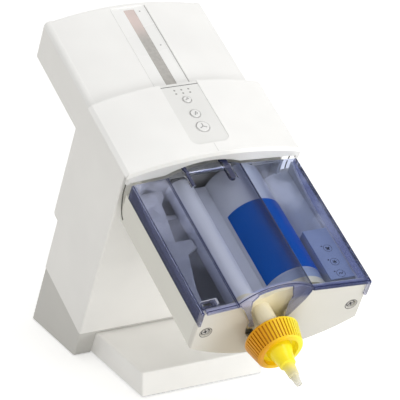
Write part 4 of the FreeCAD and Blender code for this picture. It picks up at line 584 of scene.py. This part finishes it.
# Ink for printed symbols, also used for painted shade.
INK_AND_SHADE_LOOK = plastic("ink_and_painted_shade", INK, 0.5, 1200.0, 0.05)
PALE_SYMBOL_LOOK = plastic("pale_symbol_grey", (0.40, 0.40, 0.40), 0.5, 1200.0, 0.05)
OUTLINE_LOOK = plastic("key_outline_grey", (0.62, 0.62, 0.61), 0.5, 1200.0, 0.05)
# Dark tone for painted shade in the gap along the compartment's rear edge.
GAP_SHADE_LOOK = plastic("gap_painted_shade", (0.10, 0.10, 0.09), 0.6, 700.0, 0.2, 0.05, 0.3)
INK_RISE = 0.12
SCREW_PLACES = ((-81.0, 202.0), (81.0, 202.0))
PLATE_FRONT = -90.0


def key_marks():
    """A raised symbol on each key, and the printed circle round it."""
    shapes = {
        "small": lambda x, v, r: [bar(x, v, 1.1 * r, 0.22 * r, 20), bar(x + 0.1 * r, v + 0.35 * r, 0.5 * r, 0.2 * r, 20)],
        "medium": lambda x, v, r: [bar(x, v, 1.1 * r, 0.26 * r, 62), bar(x + 0.3 * r, v - 0.1 * r, 0.5 * r, 0.2 * r, 62)],
        "large": lambda x, v, r: [bar(x - 0.28 * r, v - 0.16 * r, 0.62 * r, 0.17 * r, 30),
                                  bar(x + 0.28 * r, v - 0.16 * r, 0.62 * r, 0.17 * r, -30),
                                  bar(x, v + 0.32 * r, 0.62 * r, 0.17 * r, 90)],
    }
    for index, (size, shape) in enumerate(shapes.items(), 1):
        low, high = head_box("key_" + size)
        x, v = (low[0] + high[0]) / 2, (low[1] + high[1]) / 2
        radius = min(high[0] - low[0], high[1] - low[1]) / 2 - 1.3
        bm = bmesh.new()
        for outline in shape(x, v, radius):
            add_prism(bm, outline, high[2] - 0.02, high[2] + INK_RISE)
        piece("key_symbol_" + size, bm, PALE_SYMBOL_LOOK, "key_%d" % index)
        bm = bmesh.new()
        add_ring(bm, x, v, radius + 0.75, 0.35, KEYPAD_TOP - 0.02, KEYPAD_TOP + INK_RISE)
        piece("key_outline_" + size, bm, OUTLINE_LOOK, "machine")


def panel_marks():
    """Three printed symbols on the plate inside the lid, each in a thin circle with a dot at its side."""
    top = head_box("info_panel")[1][2]
    bm = bmesh.new()
    low, high = top - 0.02, top + INK_RISE
    for x, v, kind in ((76.2, -33.0, "dots"), (75.0, -51.4, "star"), (74.3, -67.0, "wave")):
        add_prism(bm, disc(x - 5.4, v + 3.6, 0.9), low, high)
        add_ring(bm, x, v, 4.3, 0.4, low, high)
        if kind == "dots":
            for dx, dv in ((0, 0), (1.5, 0.6), (-1.4, 0.9), (0.6, -1.5), (-1.0, -1.1)):
                add_prism(bm, disc(x + dx, v + dv, 0.95), low, high)
        if kind == "star":
            for k in range(3):
                add_prism(bm, bar(x, v, 5.0, 0.9, 60 * k + 15), low + 0.01 * k, high + 0.01 * k)
        if kind == "wave":
            for dx, dv, turn in ((-1.4, 0.2, 50), (0.2, 0.0, -50), (1.7, 0.3, 50)):
                add_prism(bm, bar(x + dx, v + dv, 2.8, 0.85, turn), low + 0.01 * abs(dx), high + 0.01 * abs(dx))
    piece("panel_symbols", bm, INK_AND_SHADE_LOOK, "machine")


def rear_gap_shade(name, side):
    """A dark line of painted shade along the rear edge of the compartment's side wall, where a shadow gap runs."""
    curve = bpy.data.curves.new(name, "CURVE")
    curve.dimensions = "3D"
    curve.bevel_depth = 0.00065
    curve.bevel_resolution = 3
    curve.use_fill_caps = True
    points = ((92.9, 91.5, 231.9), (92.9, 94.4, 217.5), (92.9, 92.0, 202.6), (93.2, 85.5, 187.5), (93.2, 80.5, 185.3))
    spline = curve.splines.new("NURBS")
    spline.points.add(len(points) - 1)
    for point, (x, v, n) in zip(spline.points, points):
        point.co = (*head(side * x, v, n), 1)
    spline.order_u = 3
    spline.use_endpoint_u = True
    spline.resolution_u = 12
    obj = bpy.data.objects.new(name, curve)
    bpy.context.collection.objects.link(obj)
    curve.materials.append(GAP_SHADE_LOOK)
    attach(obj, "machine")


def add_front_ring(bm, x, n, radius, width, near, far, steps=36):
    """A flat ring on the front plate, round a point across and out of the head."""
    corners = ((radius, near), (radius + width, near), (radius + width, far), (radius, far))
    loops = []
    for k in range(steps):
        a = 2 * math.pi * k / steps
        loops.append([bm.verts.new(head(x + q * math.cos(a), v, n + q * math.sin(a))) for q, v in corners])
    for k in range(steps):
        here, there = loops[k], loops[(k + 1) % steps]
        for i in range(4):
            j = (i + 1) % 4
            bm.faces.new((here[i], here[j], there[j], there[i]))


def screw_cup_shade():
    """Painted shade: the dark outline and bottom of each screw cup in the front plate, and the dark cross in the
    screw's head.
    """
    bm = bmesh.new()
    head_front = head_box("front_plate_screws")[0][1]
    for x, n in SCREW_PLACES:
        add_front_ring(bm, x, n, 6.1, 0.7, PLATE_FRONT - 0.06, PLATE_FRONT + 0.05)
        add_front_ring(bm, x, n, 3.5, 0.9, head_front + 0.4, head_front + 1.9)
        for turn in (25, 115):
            rows = []
            for v in (head_front - 0.05 - turn / 2000, head_front + 0.3):
                rows.append([bm.verts.new(head(px, v, pn)) for px, pn in bar(x, n, 5.2, 1.2, turn)])
            bm.faces.new(rows[0])
            bm.faces.new(rows[1])
            for i in range(4):
                j = (i + 1) % 4
                bm.faces.new((rows[0][i], rows[0][j], rows[1][j], rows[1][i]))
    piece("screw_cup_shade", bm, INK_AND_SHADE_LOOK, "machine")


def surface_n(name, x, v):
    """Height of a node's outer surface over a point across and along the head."""
    down = (head(0, 0, 0) - head(0, 0, 1)).normalized()
    hit, place, _, _ = frame["nodes"][name].ray_cast(head(x, v, 400), down)
    return (place - head(x, v, 0)).dot(-down) * 1000 if hit else None


def add_line(bm, name, start, end, width, steps=24):
    """A hair-thin raised line that follows a node's surface between two points."""
    length = math.dist(start, end)
    side_x, side_v = (end[1] - start[1]) / length * width / 2, (start[0] - end[0]) / length * width / 2
    rows = []
    for k in range(steps + 1):
        t = k / steps
        x, v = start[0] + (end[0] - start[0]) * t, start[1] + (end[1] - start[1]) * t
        n = surface_n(name, x, v)
        if n is None:
            continue
        rows.append([bm.verts.new(head(x + s * side_x, v + s * side_v, n + h)) for s, h in
                     ((-1, -0.05), (1, -0.05), (1, 0.06), (-1, 0.06))])
    for here, there in zip(rows, rows[1:]):
        for i in range(4):
            j = (i + 1) % 4
            bm.faces.new((here[i], here[j], there[j], there[i]))
    bm.faces.new(rows[0])
    bm.faces.new(rows[-1])


def cover_marks():
    """The shadow line behind the keypad, fine joint lines, and two small printed dots beside the window."""
    bm = bmesh.new()
    add_line(bm, "rear_cover", (-20.9, 191.0), (-20.9, 318.0), 0.35)
    piece("strip_joint_line", bm, OUTLINE_LOOK, "machine")
    bm = bmesh.new()
    add_line(bm, "front_cover", (0.9, 100.3), (0.9, 88.0), 0.4)
    piece("cover_joint_line", bm, OUTLINE_LOOK, "machine")
    bm = bmesh.new()
    add_prism(bm, [(-21.4, 185.5), (21.4, 185.5), (21.4, 186.3), (-21.4, 186.3)], KEYPAD_TOP - 0.5, KEYPAD_TOP + 0.02)
    piece("keypad_shadow_line", bm, INK_AND_SHADE_LOOK, "machine")
    bm = bmesh.new()
    top = head_box("level_strip")[1][2]
    for x, v in ((11.6, 312.0), (13.0, 258.0)):
        add_prism(bm, disc(x, v, 0.9), top - 0.02, top + INK_RISE)
    piece("strip_dots", bm, PALE_SYMBOL_LOOK, "machine")


KEYPAD_TOP = head_box("keypad_panel")[1][2]
key_marks()
screw_cup_shade()
cover_marks()
panel_marks()
rear_gap_shade("gap_shade_left", -1)
rear_gap_shade("gap_shade_right", 1)


# Floor, light and camera

FLOOR_GLOW = 0.45


def seen_directly(nodes, links, strength):
    """This strength for camera, glossy and transmission rays, and 0 for the light that reaches the object."""
    path = nodes.new("ShaderNodeLightPath")
    either = sum_of(nodes, links, "MAXIMUM", path.outputs["Is Camera Ray"], path.outputs["Is Glossy Ray"])
    either = sum_of(nodes, links, "MAXIMUM", either, path.outputs["Is Transmission Ray"])
    return sum_of(nodes, links, "MULTIPLY", either, strength)


def floor():
    mesh = bpy.data.meshes.new("floor")
    size = 6.0
    mesh.from_pydata([(-size, -size, 0), (size, -size, 0), (size, size, 0), (-size, size, 0)], [], [(0, 1, 2, 3)])
    obj = bpy.data.objects.new("floor", mesh)
    bpy.context.collection.objects.link(obj)
    mat, nodes, links, shader = new_material("floor_pale")
    shader.inputs["Base Color"].default_value = (0.82, 0.82, 0.81, 1)
    shader.inputs["Roughness"].default_value = 0.9
    glow = nodes.new("ShaderNodeEmission")
    glow.inputs["Color"].default_value = (1, 1, 1, 1)
    links.new(seen_directly(nodes, links, FLOOR_GLOW), glow.inputs["Strength"])
    add = nodes.new("ShaderNodeAddShader")
    links.new(shader.outputs["BSDF"], add.inputs[0])
    links.new(glow.outputs["Emission"], add.inputs[1])
    links.new(add.outputs["Shader"], nodes["Material Output"].inputs["Surface"])
    mesh.materials.append(mat)


def world():
    scene = bpy.context.scene
    scene.world = bpy.data.worlds.new("studio")
    scene.world.use_nodes = True
    nodes, links = scene.world.node_tree.nodes, scene.world.node_tree.links
    soft = nodes["Background"]
    soft.inputs["Color"].default_value = (1.0, 0.99, 0.97, 1)
    soft.inputs["Strength"].default_value = 0.62
    white = nodes.new("ShaderNodeBackground")
    white.inputs["Strength"].default_value = 1.0
    mix = nodes.new("ShaderNodeMixShader")
    links.new(seen_directly(nodes, links, 1.0), mix.inputs["Fac"])
    links.new(soft.outputs["Background"], mix.inputs[1])
    links.new(white.outputs["Background"], mix.inputs[2])
    links.new(mix.outputs["Shader"], nodes["World Output"].inputs["Surface"])


def area_light(name, place, target, size, power, tone=(1, 1, 1)):
    data = bpy.data.lights.new(name, "AREA")
    data.shape = "RECTANGLE"
    data.size, data.size_y = size
    data.energy = power
    data.color = tone
    obj = bpy.data.objects.new(name, data)
    bpy.context.collection.objects.link(obj)
    obj.location = place
    obj.rotation_mode = "QUATERNION"
    obj.rotation_quaternion = (Vector(target) - Vector(place)).to_track_quat("-Z", "Y")


def camera():
    data = bpy.data.cameras.new("camera")
    obj = bpy.data.objects.new("camera", data)
    bpy.context.collection.objects.link(obj)
    place = Vector((-1.0303, -1.9676 + SHIFT_Y, 1.0434))
    look = Vector((0.43395, 0.82876, -0.35334)).normalized()
    side = look.cross(Vector((0, 0, 1))).normalized()
    up = side.cross(look)
    roll = math.radians(0.96)
    right = side * math.cos(roll) + up * math.sin(roll)
    top = up * math.cos(roll) - side * math.sin(roll)
    turn = Matrix((right, top, -look)).transposed()
    obj.matrix_world = Matrix.Translation(place) @ turn.to_4x4()
    data.sensor_width = 36.0
    data.lens = 36.0 * 2312.7 / 400.0
    data.clip_start, data.clip_end = 0.05, 50.0
    bpy.context.scene.camera = obj


floor()
world()
area_light("key", (0.7, -1.1, 2.3), (0, 0, 0.2), (1.6, 1.6), 14.5)
area_light("low", (1.0, -1.15, 0.34), (0, 0, 0.15), (0.9, 0.6), 7.5)
area_light("fill", (-0.9, -2.2, 0.40), (0, 0, 0.1), (1.6, 0.7), 10.0)
area_light("back", (-0.4, 2.0, 2.0), (0, 0, 0.25), (2.0, 1.4), 8.0)
camera()
bpy.context.scene.view_settings.view_transform = "Standard"
